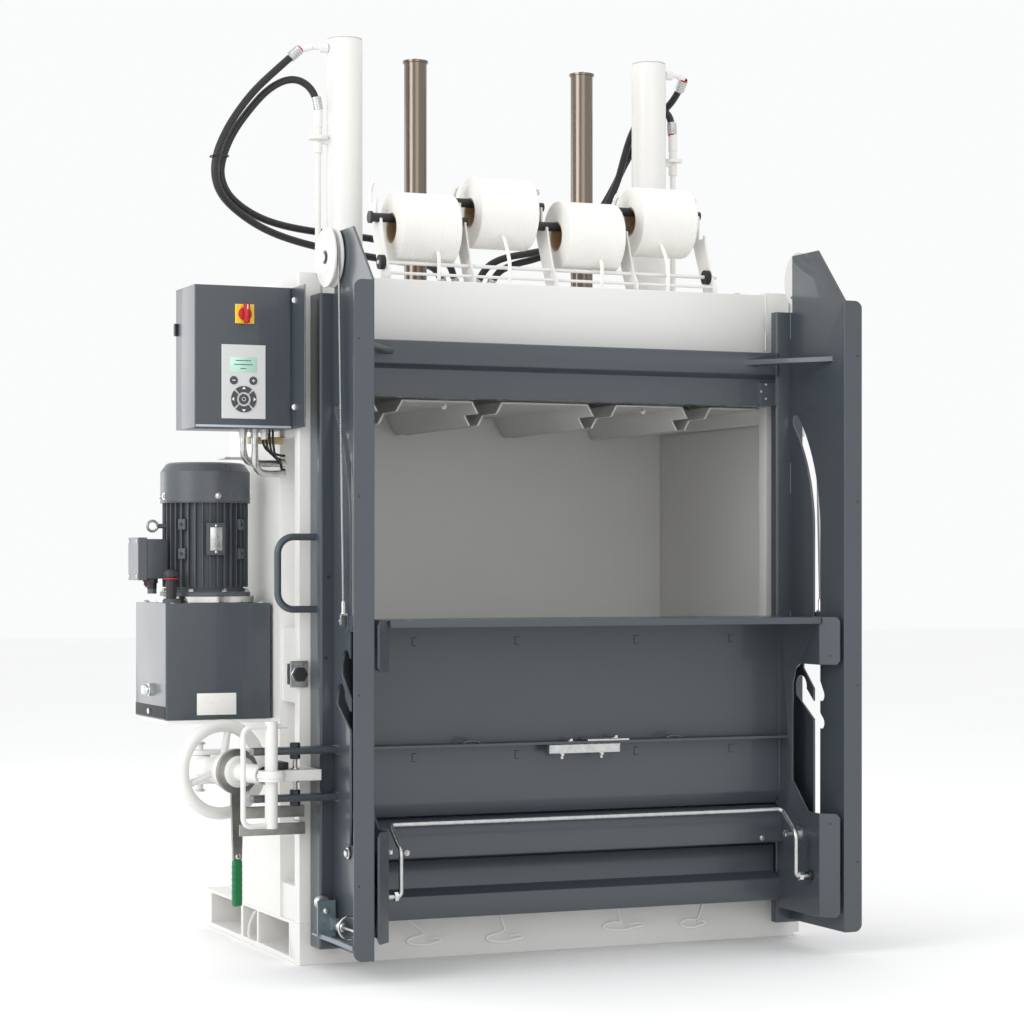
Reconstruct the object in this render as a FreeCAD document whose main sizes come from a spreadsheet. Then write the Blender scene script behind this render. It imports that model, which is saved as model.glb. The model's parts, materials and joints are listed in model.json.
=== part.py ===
import FreeCAD, Part
import math
import os
import re
import Sketcher

# Vertical recycling baler. Millimetres, X to the right, Y to the back, Z up.
# The origin is on the floor, midway between the base's ends and under the middle of the chamber.

Vec = FreeCAD.Vector
X_AXIS = Vec(1, 0, 0)
Y_AXIS = Vec(0, 1, 0)
Z_AXIS = Vec(0, 0, 1)
AXIS_TURN = {"x": FreeCAD.Rotation(Y_AXIS, 90), "y": FreeCAD.Rotation(X_AXIS, -90), "z": FreeCAD.Rotation()}
HANDS = (("left", -1), ("right", 1))

doc = FreeCAD.newDocument("recycling_baler")
sheet = doc.addObject("Spreadsheet::Sheet", "dims")

DRIVING = {
    "base_width": 1438, "base_rear": 445, "base_height": 106, "foot_height": 9, "wall": 6,
    "left_foot_end": -345, "right_foot_end": 583,
    "front_pocket_near": -315, "front_pocket_far": -58, "rear_pocket_near": 97, "rear_pocket_far": 375,
    "pocket_floor": 15, "pocket_roof": 98,
    "chamber_half": 665, "chamber_rear": 350, "body_rear": 398, "front_face": -400,
    "post_depth": 38, "post_inner": 616, "side_outer": 719,
    "side_panel_front": -242, "side_panel_rear": 115,
    "header_bottom": 1589, "header_top": 1750, "post_top": 1756,
    "cylinder_x": 457, "cylinder_radius": 48.5, "cylinder_top": 2437, "rod_radius": 25,
    "column_x": 250, "column_y": 5, "column_radius": 31, "column_top": 2388,
    "platen_half": 655, "platen_front": -309, "platen_rear": 340, "platen_flat": 1448, "platen_depth": 60,
    "beam_half": 600, "beam_near": -60, "beam_far": 70,
    "inner_slot_x": 167.5, "outer_slot_x": 450,
    "door_back": -404, "door_front": -478, "door_inner": 606, "post_lip": 28, "door_outer": 691,
    "door_bottom": 50, "door_top": 1697, "beam_bottom": 1443, "beam_top": 1585, "sill": 870,
    "guide_x": 650, "guide_front": -767, "guide_bottom": 57, "guide_shoulder": 1704, "guide_tip": 1849,
    "guide_flange": 703,
    "slot_y": -621.5, "slot_half": 17.5, "slot_bend_z": 1110, "slot_bend_radius": 431, "slot_bottom": 285,
    "flap_half": 598, "flap_wing": 56, "flap_front": -736, "flap_bend": -726, "flap_rear": -501, "flap_top": 879,
    "flap_bottom": 95, "flap_skin": -512,
    "pulley_y": -500, "pulley_z": 1784, "pulley_radius": 75, "groove_radius": 66, "rope_radius": 3,
    "hinge_x": 710, "hinge_y": -420,
    "tank_left": -1008, "tank_right": -727, "tank_front": -190, "tank_rear": 107, "tank_bottom": 616,
    "tank_top": 916,
    "motor_x": -862, "motor_y": -48, "cowl_radius": 117, "motor_radius": 100,
    "cabinet_left": -989, "cabinet_right": -735, "cabinet_front": -385, "cabinet_rear": -217,
    "cabinet_bottom": 1358, "cabinet_top": 1716,
    "tbar_x": -837, "tbar_y": -536, "lock_z": 494, "arm_yaw": 11.6, "arm_length": 372, "wheel_y": 256,
    "rack_half": 470, "rack_rod_y": -350, "rack_rod_z": 1797, "roll_radius": 94, "roll_width": 163,
    "core_radius": 38, "spindle_radius": 12,
    "low_roll_y": -300, "low_roll_z": 1893, "high_roll_y": -262, "high_roll_z": 1949,
    "hose_radius": 10, "plunger_x": -667, "plunger_z": 118, "plunger_radius": 4,
}
for row, (alias, number) in enumerate(DRIVING.items(), start=1):
    sheet.set(f"A{row}", str(number))
    sheet.setAlias(f"A{row}", alias)
doc.recompute()

ALIAS_WORD = re.compile(r"\b(" + "|".join(sorted(DRIVING, key=len, reverse=True)) + r")\b")


def bound(expression):
    """The expression with every driving dimension looked up in the sheet."""
    return ALIAS_WORD.sub(r"dims.\1", str(expression))


def val(expression):
    """The number that an expression has with the sheet's present dimensions."""
    sheet.set("D1", f"={expression}")
    sheet.recompute()
    return float(sheet.D1)


def own(names):
    """Names of the objects that a boolean takes up."""
    return [item if isinstance(item, FreeCAD.DocumentObject) else doc.getObject(item) for item in names]


def block(name, x, y, z):
    """A box between two planes on each axis, every plane an expression."""
    box = doc.addObject("Part::Box", name)
    for size, place, (low, high) in (("Length", "x", x), ("Width", "y", y), ("Height", "z", z)):
        box.setExpression(size, f"({bound(high)}) - ({bound(low)})")
        box.setExpression(f"Placement.Base.{place}", bound(low))
    return box


def round_bar(name, axis, start, length, radius):
    """A cylinder from start along an axis."""
    bar = doc.addObject("Part::Cylinder", name)
    bar.Placement = FreeCAD.Placement(Vec(), AXIS_TURN[axis])
    bar.setExpression("Radius", bound(radius))
    bar.setExpression("Height", bound(length))
    for letter, expression in zip("xyz", start):
        bar.setExpression(f"Placement.Base.{letter}", bound(expression))
    return bar


def fuse(name, parts):
    joined = doc.addObject("Part::MultiFuse", name)
    joined.Shapes = own(parts)
    joined.Refine = True
    return joined


def cut(name, base, tools):
    """Base with the tools taken away."""
    tool = tools[0] if len(tools) == 1 else fuse(name + "_tools", tools)
    less = doc.addObject("Part::Cut", name)
    less.Base = base
    less.Tool = tool
    return less


def group(name, parts):
    """Separate like pieces kept in one node."""
    together = doc.addObject("Part::Compound", name)
    together.Links = own(parts)
    return together


def shaped(name, shape):
    item = doc.addObject("Part::Feature", name)
    item.Shape = shape
    return item


def tube(name, axis, start, length, outer, inner):
    return cut(name, round_bar(name + "_outer", axis, start, length, outer),
               [round_bar(name + "_inner", axis, start, length, inner)])


def sketch_on(body, role, offset=0, name="outline"):
    sketch = body.newObject("Sketcher::SketchObject", f"{body.Name}_{name}")
    planes = {feature.Role: feature for feature in body.Origin.OriginFeatures}
    sketch.AttachmentSupport = [(planes[role], "")]
    sketch.MapMode = "FlatFace"
    sketch.AttachmentOffset = FreeCAD.Placement(Vec(0, 0, val(offset)), FreeCAD.Rotation())
    return sketch


def add_polygon(sketch, points):
    """A closed outline with each corner held by two driven distances."""
    corners = [(val(across), val(up)) for across, up in points]
    count = len(corners)
    lines = []
    for index in range(count):
        start = Vec(*corners[index], 0)
        end = Vec(*corners[(index + 1) % count], 0)
        lines.append(sketch.addGeometry(Part.LineSegment(start, end), False))
    for index in range(count):
        sketch.addConstraint(Sketcher.Constraint("Coincident", lines[index], 2, lines[(index + 1) % count], 1))
    for line, corner, expressions in zip(lines, corners, points):
        for kind, axis, number, expression in (("DistanceX", -2, corner[0], expressions[0]),
                                               ("DistanceY", -1, corner[1], expressions[1])):
            if abs(number) < 1e-9:
                sketch.addConstraint(Sketcher.Constraint("PointOnObject", line, 1, axis))
            else:
                key = sketch.addConstraint(Sketcher.Constraint(kind, -1, 1, line, 1, number))
                sketch.setExpression(f"Constraints[{key}]", bound(expression))



def padded(name, role, points, start, thickness):
    """A plate: an outline on a plane, padded from start. Returns its body."""
    body = doc.addObject("PartDesign::Body", name)
    add_polygon(sketch_on(body, role, start), points)
    pad = body.newObject("PartDesign::Pad", name + "_pad")
    pad.Profile = doc.getObject(f"{name}_outline")
    pad.setExpression("Length", bound(thickness))
    return body


def revolved(name, points, place, axis):
    """A turned piece: radius and height pairs turned about the sketch's upright axis."""
    body = doc.addObject("PartDesign::Body", name)
    sketch = sketch_on(body, "XZ_Plane")
    add_polygon(sketch, points)
    turn = body.newObject("PartDesign::Revolution", name + "_turn")
    turn.Profile = sketch
    turn.ReferenceAxis = (sketch, ["V_Axis"])
    turn.Angle = 360
    body.Placement = FreeCAD.Placement(Vec(*[val(part) for part in place]), AXIS_TURN[axis])
    return body


def bent_wire(points, radii):
    """Straight runs through the points, joined by tangent arcs."""
    edges = []
    start = points[0]
    for index in range(1, len(points) - 1):
        corner = points[index]
        back = (points[index - 1] - corner).normalize()
        ahead = (points[index + 1] - corner).normalize()
        turn = math.pi - back.getAngle(ahead)
        reach = radii[index - 1] * math.tan(turn / 2)
        entry = corner + back * reach
        leave = corner + ahead * reach
        bisector = (back + ahead).normalize()
        middle = corner + bisector * (radii[index - 1] / math.cos(turn / 2) - radii[index - 1])
        if (entry - start).Length > 1e-6:
            edges.append(Part.LineSegment(start, entry).toShape())
        edges.append(Part.Arc(entry, middle, leave).toShape())
        start = leave
    edges.append(Part.LineSegment(start, points[-1]).toShape())
    return Part.Wire(edges)


def swept(points, radii, radius):
    """A round bar or hose along a bent wire."""
    path = bent_wire(points, radii)
    ring = Part.Wire([Part.makeCircle(radius, points[0], points[1] - points[0])])
    return path.makePipeShell([ring], True, True), path.Length


def largest_radii(points):
    """The largest arc that the two runs at each corner allow."""
    radii = []
    for index in range(1, len(points) - 1):
        back = points[index - 1] - points[index]
        ahead = points[index + 1] - points[index]
        turn = math.pi - back.getAngle(ahead)
        radii.append(0.45 * min(back.Length, ahead.Length) / math.tan(turn / 2))
    return radii


def hand_span(hand, near, far):
    """The two X planes of a piece on the left or right side, low first."""
    return (f"-({far})", f"-({near})") if hand < 0 else (near, far)


NODES = []


def node(name, item):
    """Registers an object as the sub-part of that name."""
    item.Label = name
    NODES.append((name, item))
    return item


# ---------------------------------------------------------------- base and press frame

def make_base():
    """Welded base with two truck pockets right through and four strap grooves in its floor."""
    ends = ("-base_width/2", "base_width/2")
    depth = ("front_face - 1", "base_rear")
    hull = block("base_hull", ends, depth, ("foot_height", "base_height"))
    pockets = []
    for name, near, far in (("front_pocket", "front_pocket_near", "front_pocket_far"),
                            ("middle_bay", "front_pocket_far + 14", "rear_pocket_near - 17"),
                            ("rear_pocket", "rear_pocket_near", "rear_pocket_far")):
        pockets.append(block(name, ends, (near, far), ("pocket_floor", "pocket_roof")))
    for index, centre in enumerate(("-outer_slot_x", "-inner_slot_x", "inner_slot_x", "outer_slot_x")):
        pockets.append(block(f"floor_groove_{index}", (f"{centre} - 9.5", f"{centre} + 9.5"), depth,
                             ("base_height - 4", "base_height + 1")))
    hollow = cut("base_box", hull, pockets)
    left_foot = block("left_foot", ("-base_width/2", "left_foot_end"), depth, ("0", "foot_height"))
    right_foot = block("right_foot", ("right_foot_end", "base_width/2 - 17"), depth, ("0", "foot_height"))
    skirt = block("front_skirt", ("-base_width/2", "base_width/2 - 17"), ("front_face - 1", "front_face + 20"),
                  ("0", "foot_height"))
    middle_foot = block("middle_foot", ("-60", "60"), ("-200", "300"), ("0", "foot_height"))
    node("base_frame", fuse("base_frame", [hollow, left_foot, right_foot, middle_foot, skirt]))


def make_side_frames():
    """Chamber side wall, front post and outer panel of each side, welded together."""
    for side, hand in HANDS:
        wall = block(f"{side}_wall", hand_span(hand, "chamber_half", "chamber_half + wall"),
                     ("front_face + post_depth", "chamber_rear + wall"), ("base_height", "header_bottom"))
        post_shell = block(f"{side}_post_shell", hand_span(hand, "post_inner", "side_outer"),
                           ("front_face", "front_face + post_depth"), ("base_height", "post_top"))
        post_bore = block(f"{side}_post_bore", hand_span(hand, "post_inner + wall", "side_outer - wall"),
                          ("front_face + wall", "front_face + post_depth - wall"),
                          ("base_height", "post_top - wall"))
        post = cut(f"{side}_post", post_shell, [post_bore])
        panel = block(f"{side}_panel", hand_span(hand, "side_outer - wall", "side_outer"),
                      ("side_panel_front", "side_panel_rear"), ("base_height", "header_bottom"))
        parts = [wall, post, panel]
        between = hand_span(hand, "chamber_half + wall", "side_outer - wall")
        for edge, near in (("front", "side_panel_front"), ("rear", "side_panel_rear - wall")):
            parts.append(block(f"{side}_{edge}_return", between, (near, f"{near} + wall"),
                               ("base_height", "header_bottom")))
        parts += make_closing_plates(side, hand)
        if hand < 0:
            parts.append(block("tank_shelf", ("tank_left + 4", "-side_outer"), ("tank_front + 2", "tank_rear - 17"),
                               ("tank_bottom - 10", "tank_bottom")))
            parts.append(block("cable_bracket", ("-side_outer - 81", "-side_outer"), ("-20", "60"),
                               ("1296", "1302")))
        else:
            parts += make_frame_hinge_halves()
        node(f"side_frame_{side}", fuse(f"side_frame_{side}", parts))


def make_closing_plates(side, hand):
    """Three plates with edge ribs that close the gap beside the post; the gap is open between them."""
    parts = []
    depth = ("front_face + post_depth", "side_panel_front")
    for index, (low, high) in enumerate((("base_height", "195"), ("663", "853"), ("1341", "header_bottom"))):
        parts.append(block(f"{side}_closing_{index}", hand_span(hand, "side_outer - 13", "side_outer - 7"),
                           depth, (low, high)))
        for edge, place in (("low", low), ("high", f"{high} - wall")):
            parts.append(block(f"{side}_rib_{edge}_{index}",
                               hand_span(hand, "chamber_half + wall", "side_outer - 13"), depth,
                               (place, f"{place} + wall")))
    return parts


HINGE_LEVELS = (300, 1450)
HINGE_BARREL_RADIUS = 15
HINGE_PIN_RADIUS = 8


def make_frame_hinge_halves():
    """Two knuckles and a fixed pin at each hinge, with a leaf on the post's outer face."""
    parts = []
    for index, level in enumerate(HINGE_LEVELS):
        parts.append(block(f"hinge_leaf_{index}", ("side_outer", "side_outer + 6"),
                           ("front_face - 2", "front_face + post_depth"), (level - 85, level + 85)))
        for half, low in (("lower", level - 85), ("upper", level + 35)):
            parts.append(block(f"hinge_{half}_leaf_{index}", ("side_outer", "side_outer + 6"),
                               ("hinge_y", "front_face - 2"), (low, low + 50)))
            parts.append(round_bar(f"hinge_{half}_{index}", "z", ("hinge_x", "hinge_y", low), 50,
                                   HINGE_BARREL_RADIUS))
        parts.append(round_bar(f"hinge_pin_{index}", "z", ("hinge_x", "hinge_y", level - 95), 190,
                               HINGE_PIN_RADIUS))
    return parts


def make_rear_wall():
    """Rear wall of the chamber with upright stiffeners behind it."""
    plate = block("rear_plate", ("-chamber_half", "chamber_half"), ("chamber_rear", "chamber_rear + wall"),
                  ("base_height", "header_bottom"))
    parts = [plate]
    for index, centre in enumerate(("-450", "-150", "150", "450")):
        rib = block(f"rear_rib_{index}", (f"{centre} - 32", f"{centre} + 32"), ("chamber_rear + wall", "body_rear"),
                    ("base_height", "header_bottom"))
        hollow = block(f"rear_rib_bore_{index}", (f"{centre} - 28", f"{centre} + 28"),
                       ("chamber_rear + wall", "body_rear - 4"), ("base_height", "header_bottom"))
        parts.append(cut(f"rear_channel_{index}", rib, [hollow]))
    node("rear_wall", fuse("rear_wall", parts))


def make_header():
    """Box-shaped crosshead, open below, with two webs and bores for the rods and guide columns."""
    skin = 8
    behind_post = "front_face + post_depth"
    solid = fuse("header_solid", [
        block("header_front_block", ("-post_inner", "post_inner"), ("front_face", behind_post),
              ("header_bottom", "header_top")),
        block("header_main_block", ("-side_outer", "side_outer"), (behind_post, "body_rear"),
              ("header_bottom", "header_top"))])
    inside = (f"-side_outer + {skin}", f"side_outer - {skin}")
    height = ("header_bottom", f"header_top - {skin}")
    tools = [block("header_neck", (f"-post_inner + {skin}", f"post_inner - {skin}"),
                   (f"front_face + {skin}", f"{behind_post} + {skin}"), height),
             block("header_front_hollow", inside, (f"{behind_post} + {skin}", f"beam_near - 10 - {skin}"), height),
             block("header_middle_hollow", inside, ("beam_near - 10", "beam_far + 10"), height),
             block("header_rear_hollow", inside, (f"beam_far + 10 + {skin}", f"body_rear - {skin}"), height)]
    for side, hand in HANDS:
        tools.append(round_bar(f"rod_bore_{side}", "z", (f"{hand}*cylinder_x", 0, "header_bottom"), 200,
                               "rod_radius + 3"))
        tools.append(round_bar(f"column_bore_{side}", "z", (f"{hand}*column_x", "column_y", "header_bottom"), 200,
                               "column_radius + 0.5"))
    node("crosshead", cut("crosshead", solid, tools))


# ---------------------------------------------------------------- press

def make_cylinders():
    """Two hydraulic cylinder barrels, each with a foot flange, a rod gland and a closed head."""
    barrels = []
    for side, hand in HANDS:
        place = (f"{hand}*cylinder_x", 0, 0)
        section = [("rod_radius + 0.4", "header_top"), ("66", "header_top"), ("66", "header_top + 16"),
                   ("cylinder_radius", "header_top + 16"), ("cylinder_radius", "cylinder_top - 5"),
                   ("cylinder_radius - 5", "cylinder_top"), ("0", "cylinder_top"), ("0", "cylinder_top - 12"),
                   ("cylinder_radius - 8.5", "cylinder_top - 12"), ("cylinder_radius - 8.5", "header_top + 24"),
                   ("rod_radius + 0.4", "header_top + 24")]
        barrels.append(revolved(f"barrel_{side}", section, place, "z"))
    node("press_cylinders", group("press_cylinders", barrels))


def make_rods():
    """Piston rods with their pistons, standing on the platen beam."""
    rods = []
    for side, hand in HANDS:
        section = [("0", "platen_flat + 112"), ("rod_radius", "platen_flat + 112"),
                   ("rod_radius", "cylinder_top - 41"), ("cylinder_radius - 9", "cylinder_top - 41"),
                   ("cylinder_radius - 9", "cylinder_top - 17"), ("0", "cylinder_top - 17")]
        rods.append(revolved(f"piston_rod_{side}", section, (f"{hand}*cylinder_x", 0, 0), "z"))
    node("piston_rods", group("piston_rods", rods))


def make_columns():
    """Two round guide columns with wider caps and a small bolt in the middle of each."""
    columns = []
    for side, hand in HANDS:
        section = [("column_radius - 4", "platen_flat + 112"), ("column_radius", "platen_flat + 112"),
                   ("column_radius", "column_top"), ("column_radius + 4", "column_top"),
                   ("column_radius + 4", "column_top + 6"), ("9", "column_top + 6"), ("8", "column_top + 12"),
                   ("0", "column_top + 12"), ("0", "column_top - 3"), ("column_radius - 4", "column_top - 3")]
        columns.append(revolved(f"column_{side}", section, (f"{hand}*column_x", "column_y", 0), "z"))
    node("guide_columns", group("guide_columns", columns))


def sheet_outline(path, thickness):
    """Corner points of a folded sheet whose upper face follows the path, left to right."""
    upper = [Vec(*point, 0) for point in path]
    runs = [(upper[i + 1] - upper[i]).normalize() for i in range(len(upper) - 1)]
    normals = [Vec(run.y, -run.x, 0) for run in runs]
    lower = [upper[0] + normals[0] * thickness]
    for index in range(1, len(upper) - 1):
        mitre = (normals[index - 1] + normals[index]).normalize()
        lower.append(upper[index] + mitre * (thickness / mitre.dot(normals[index])))
    lower.append(upper[-1] + normals[-1] * thickness)
    return [(point.x, point.y) for point in upper + lower[::-1]]


def make_platen():
    """Pressing plate of five folded panels, with strap channels between them, under a box beam."""
    gap = 9.5
    spread = 42
    top = val("platen_flat")
    low = top - val("platen_depth")
    edges = [val(edge) for edge in ("-platen_half", "-outer_slot_x", "-inner_slot_x", "inner_slot_x",
                                    "outer_slot_x", "platen_half")]
    panels = []
    for index in range(5):
        start = [(edges[index], top - 46), (edges[index], top)]
        end = [(edges[index + 1], top), (edges[index + 1], top - 46)]
        if index > 0:
            start = [(edges[index] + gap, low), (edges[index] + spread, top)]
        if index < 4:
            end = [(edges[index + 1] - spread, top), (edges[index + 1] - gap, low)]
        panels.append(padded(f"platen_panel_{index}", "XZ_Plane", sheet_outline(start + end, 6), "-platen_rear",
                             "platen_rear - platen_front"))
    notch = block("platen_notch", ("-platen_half + 30", "platen_half - 30"), ("platen_front", "platen_front + 95"),
                  ("platen_flat - platen_depth - 6", "platen_flat - 34"))
    beam = block("platen_beam", ("-beam_half", "beam_half"), ("beam_near", "beam_far"),
                 ("platen_flat", "platen_flat + 112"))
    bore = block("platen_beam_bore", ("-beam_half", "beam_half"), ("beam_near + 8", "beam_far - 8"),
                 ("platen_flat + 8", "platen_flat + 104"))
    webs = []
    for index, place in enumerate(("-560", "-310", "0", "310", "560")):
        for part, near, far in (("front", "platen_front + 12", "beam_near"), ("rear", "beam_far",
                                                                              "platen_rear - 12")):
            webs.append(block(f"platen_web_{part}_{index}", (f"{place} - 4", f"{place} + 4"), (near, far),
                              ("platen_flat", "platen_flat + 50")))
    plate = cut("platen_plate", fuse("platen_sheets", panels), [notch])
    node("platen", fuse("platen", [plate, cut("platen_tube", beam, [bore])] + webs))


# ---------------------------------------------------------------- door

def make_door_posts():
    """Channel-shaped posts of the door, open behind. The left one carries the two locking lugs, the right one the knuckles."""
    for side, hand in HANDS:
        shell = block(f"door_{side}_shell", hand_span(hand, "door_inner", "door_outer"), ("door_front", "door_back"),
                      ("door_bottom", "door_top"))
        bore = block(f"door_{side}_bore", hand_span(hand, "door_inner + 6", "door_outer - 6"),
                     ("door_front + 6", "door_back + 1"), ("door_bottom", "door_top"))
        mouth = block(f"door_{side}_mouth", hand_span(hand, "door_inner - 1", "door_inner + 7"),
                      ("door_front + post_lip", "door_back + 1"), ("door_bottom", "door_top"))
        box = cut(f"door_{side}_channel", shell, [bore, mouth])
        if hand < 0:
            extras = [block(f"lug_{index}", ("-876", "-guide_x - 6"), ("-518", "door_front"), (low, low + 18))
                      for index, low in enumerate((426, 543))]
            node("door_left_post", fuse("door_left_post", [box] + extras))
        else:
            extras = []
            for index, level in enumerate(HINGE_LEVELS):
                extras.append(tube(f"knuckle_{index}", "z", ("hinge_x", "hinge_y", level - 33), 66,
                                   HINGE_BARREL_RADIUS, HINGE_PIN_RADIUS + 0.3))
                leaf = block(f"knuckle_leaf_{index}", ("door_outer", "door_outer + 8"),
                             ("hinge_y - 12", "hinge_y + 12"), (level - 33, level + 33))
                extras.append(leaf)
            node("door_right_post", fuse("door_right_post", [box] + extras))


def make_door_beam():
    """Folded top beam of the door with its end angles and the two gusset bars."""
    section = [("door_front + 6", "beam_bottom"), ("door_front + 6", "1514"), ("door_front - 20", "1526"),
               ("door_front - 20", "beam_top"), ("door_back", "beam_top"), ("door_back", "beam_bottom")]
    beam = padded("beam_outer", "YZ_Plane", section, "-door_inner", "2*door_inner")
    bore = block("beam_bore", ("-door_inner", "door_inner"), ("door_front + 12", "door_back - 6"),
                 ("beam_bottom + 6", "beam_top - 6"))
    parts = [cut("beam_shell", beam, [bore])]
    for side, hand in HANDS:
        bar = [(f"{hand}*guide_x", "-708"), (f"{hand}*guide_x", "-688"), (f"{hand}*528", "door_front - 20"),
               (f"{hand}*500", "door_front - 20")]
        parts.append(padded(f"gusset_{side}", "XY_Plane", bar, "1549", "14"))
        parts.append(block(f"end_angle_{side}", hand_span(hand, "door_inner - 50", "door_inner"),
                           ("door_front - 2", "door_front + 6"), ("beam_bottom", "1506")))
    node("door_top_beam", fuse("door_top_beam", parts))


def make_door_panel():
    """Hollow lower wall of the door, which closes the chamber below the loading opening."""
    front = "door_front + 18"
    shell = block("lower_shell", ("-door_inner", "door_inner"), (front, "door_back"), ("112", "sill"))
    bays = []
    for index, low in enumerate((-592, -197, 200)):
        bays.append(block(f"lower_bay_{index}", (low, low + 392), (f"{front} + 6", "door_back - 6"),
                          ("118", "sill - 6")))
    node("door_lower_wall", cut("door_lower_wall", shell, bays))


def make_guides():
    """Side plates of the door that guide the flap: slotted, with an outward front flange."""
    for side, hand in HANDS:
        body = doc.addObject("PartDesign::Body", f"guide_plate_{side}")
        outline = sketch_on(body, "YZ_Plane", "guide_x" if hand > 0 else "-guide_x - 6")
        add_polygon(outline, [("door_front", "guide_bottom"), ("door_front", "door_top"),
                              ("door_front - 9", "door_top"), ("door_front - 9", "guide_tip"),
                              ("-626", "guide_tip"), ("guide_front", "guide_shoulder"),
                              ("guide_front", "guide_bottom")])
        pad = body.newObject("PartDesign::Pad", f"guide_pad_{side}")
        pad.Profile = outline
        pad.setExpression("Length", bound("wall"))
        slots = sketch_on(body, "YZ_Plane", "guide_x + 20" if hand > 0 else "-guide_x + 20", "slots")
        add_main_slot(slots)
        cut_slots = body.newObject("PartDesign::Pocket", f"guide_main_slot_{side}")
        cut_slots.Profile = slots
        cut_slots.Length = 40
        branches = sketch_on(body, "YZ_Plane", "guide_x + 20" if hand > 0 else "-guide_x + 20", "branches")
        for centre, top, bend in ((-575.5, 804, 748), (-538, 719, 675)):
            add_branch(branches, centre, top, bend)
        cut_branches = body.newObject("PartDesign::Pocket", f"guide_branch_slots_{side}")
        cut_branches.Profile = branches
        cut_branches.Length = 40
        body.Tip = cut_branches
        rim = [(f"{hand}*guide_x", "guide_bottom")]
        rim += quarter_arc(hand, "guide_bottom + 22", -90)
        rim += quarter_arc(hand, "guide_shoulder - 22", 0)
        rim.append((f"{hand}*guide_x", "guide_shoulder"))
        flange = padded(f"guide_flange_{side}", "XZ_Plane", rim, "-guide_front - 6", "6")
        node(f"guide_{side}", fuse(f"guide_{side}", [body, flange]))


def quarter_arc(hand, level, start):
    """Corner points of a flange's rounded corner, as far out as the flange goes."""
    turns = [math.radians(start + 15 * step) for step in range(7)]
    return [(f"{hand}*(guide_flange - 22 + {22 * math.cos(turn):.3f})", f"{level} + {22 * math.sin(turn):.3f}")
            for turn in turns]


def add_main_slot(sketch):
    """Upright slot whose upper end curves back towards the chamber."""
    half = val("slot_half")
    centre = Vec(val("slot_y + slot_bend_radius"), val("slot_bend_z"), 0)
    end_angle = math.pi - math.asin((1402 - val("slot_bend_z")) / val("slot_bend_radius"))
    middle_angle = (math.pi + end_angle) / 2

    def on_arc(radius, angle):
        return centre + Vec(math.cos(angle), math.sin(angle), 0) * radius

    outer = val("slot_bend_radius") + half
    inner = val("slot_bend_radius") - half
    low_left = Vec(val("slot_y") - half, val("slot_bottom") + half, 0)
    low_right = Vec(val("slot_y") + half, val("slot_bottom") + half, 0)
    foot = Vec(val("slot_y"), val("slot_bottom"), 0)
    heading = Vec(math.sin(end_angle), -math.cos(end_angle), 0)
    cap = on_arc(val("slot_bend_radius"), end_angle) + heading * half
    sketch.addGeometry(Part.LineSegment(low_left, on_arc(outer, math.pi)), False)
    sketch.addGeometry(Part.Arc(on_arc(outer, math.pi), on_arc(outer, middle_angle), on_arc(outer, end_angle)), False)
    sketch.addGeometry(Part.Arc(on_arc(outer, end_angle), cap, on_arc(inner, end_angle)), False)
    sketch.addGeometry(Part.Arc(on_arc(inner, end_angle), on_arc(inner, middle_angle), on_arc(inner, math.pi)), False)
    sketch.addGeometry(Part.LineSegment(on_arc(inner, math.pi), low_right), False)
    sketch.addGeometry(Part.Arc(low_right, foot, low_left), False)


def add_branch(sketch, centre, top, bend):
    """A parking notch: upright with a round top, then running down and forward to a round tip."""
    half = 29.5
    tip = Vec(-646, bend - 78, 0)
    rear = Vec(centre + half, top - half, 0)
    front = Vec(centre - half, top - half, 0)
    bend_rear = Vec(centre + half, bend - 8, 0)
    bend_front = Vec(centre - half, bend + 8, 0)
    run = (tip - Vec(centre, bend, 0)).normalize()
    side = Vec(-run.y, run.x, 0) * 16
    for start, end in ((front, bend_front), (bend_front, tip - side), (tip + side, bend_rear), (bend_rear, rear)):
        sketch.addGeometry(Part.LineSegment(start, end), False)
    sketch.addGeometry(Part.Arc(tip - side, tip + run * 16, tip + side), False)
    sketch.addGeometry(Part.Arc(rear, Vec(centre, top, 0), front), False)


def make_door_fittings():
    """Handle, adjusting bolts and pulley axles of the door."""
    front = val("door_front") + 36
    corner_x = -790
    path = [Vec(-val("door_outer"), front, 1085), Vec(corner_x, front, 1085), Vec(corner_x, front, 903),
            Vec(-val("door_outer"), front, 903)]
    handle, _ = swept(path, [42, 42], 9)
    node("door_handle", shaped("door_handle", handle))
    bolts = []
    for index, (low, toward) in enumerate(((426, 1), (543, -1))):
        face = low + 18 if toward > 0 else low
        tip = 477.5 if toward > 0 else 505.5
        bolts.append(round_bar(f"adjuster_nut_{index}", "z", (-763, -498, face if toward > 0 else face - 12), 12, 13))
        stem_low = face + 12 if toward > 0 else tip + 4
        bolts.append(round_bar(f"adjuster_stem_{index}", "z", (-763, -498, stem_low), abs(tip - face) - 16, 6))
        bolts.append(round_bar(f"adjuster_pad_{index}", "z", (-763, -498, tip - 4 if toward > 0 else tip), 4, 11))
        bolts.append(round_bar(f"adjuster_head_{index}", "z", (-763, -498, low - 12 if toward > 0 else low + 18), 12, 13))
    joined = [fuse(f"adjuster_{index}", bolts[4 * index: 4 * index + 4]) for index in range(2)]
    for side, hand in HANDS:
        outward = f"{hand}*(guide_x + 6)" if hand > 0 else "-guide_x - 42"
        shaft = round_bar(f"axle_shaft_{side}", "x", (outward, "pulley_y", "pulley_z"), 36, 8)
        cap = round_bar(f"axle_cap_{side}", "x", (f"{hand}*(guide_x + 36)" if hand > 0 else "-guide_x - 42",
                                                  "pulley_y", "pulley_z"), 6, 13)
        joined.append(fuse(f"pulley_axle_{side}", [shaft, cap]))
    node("door_bolts", group("door_bolts", joined))


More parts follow.
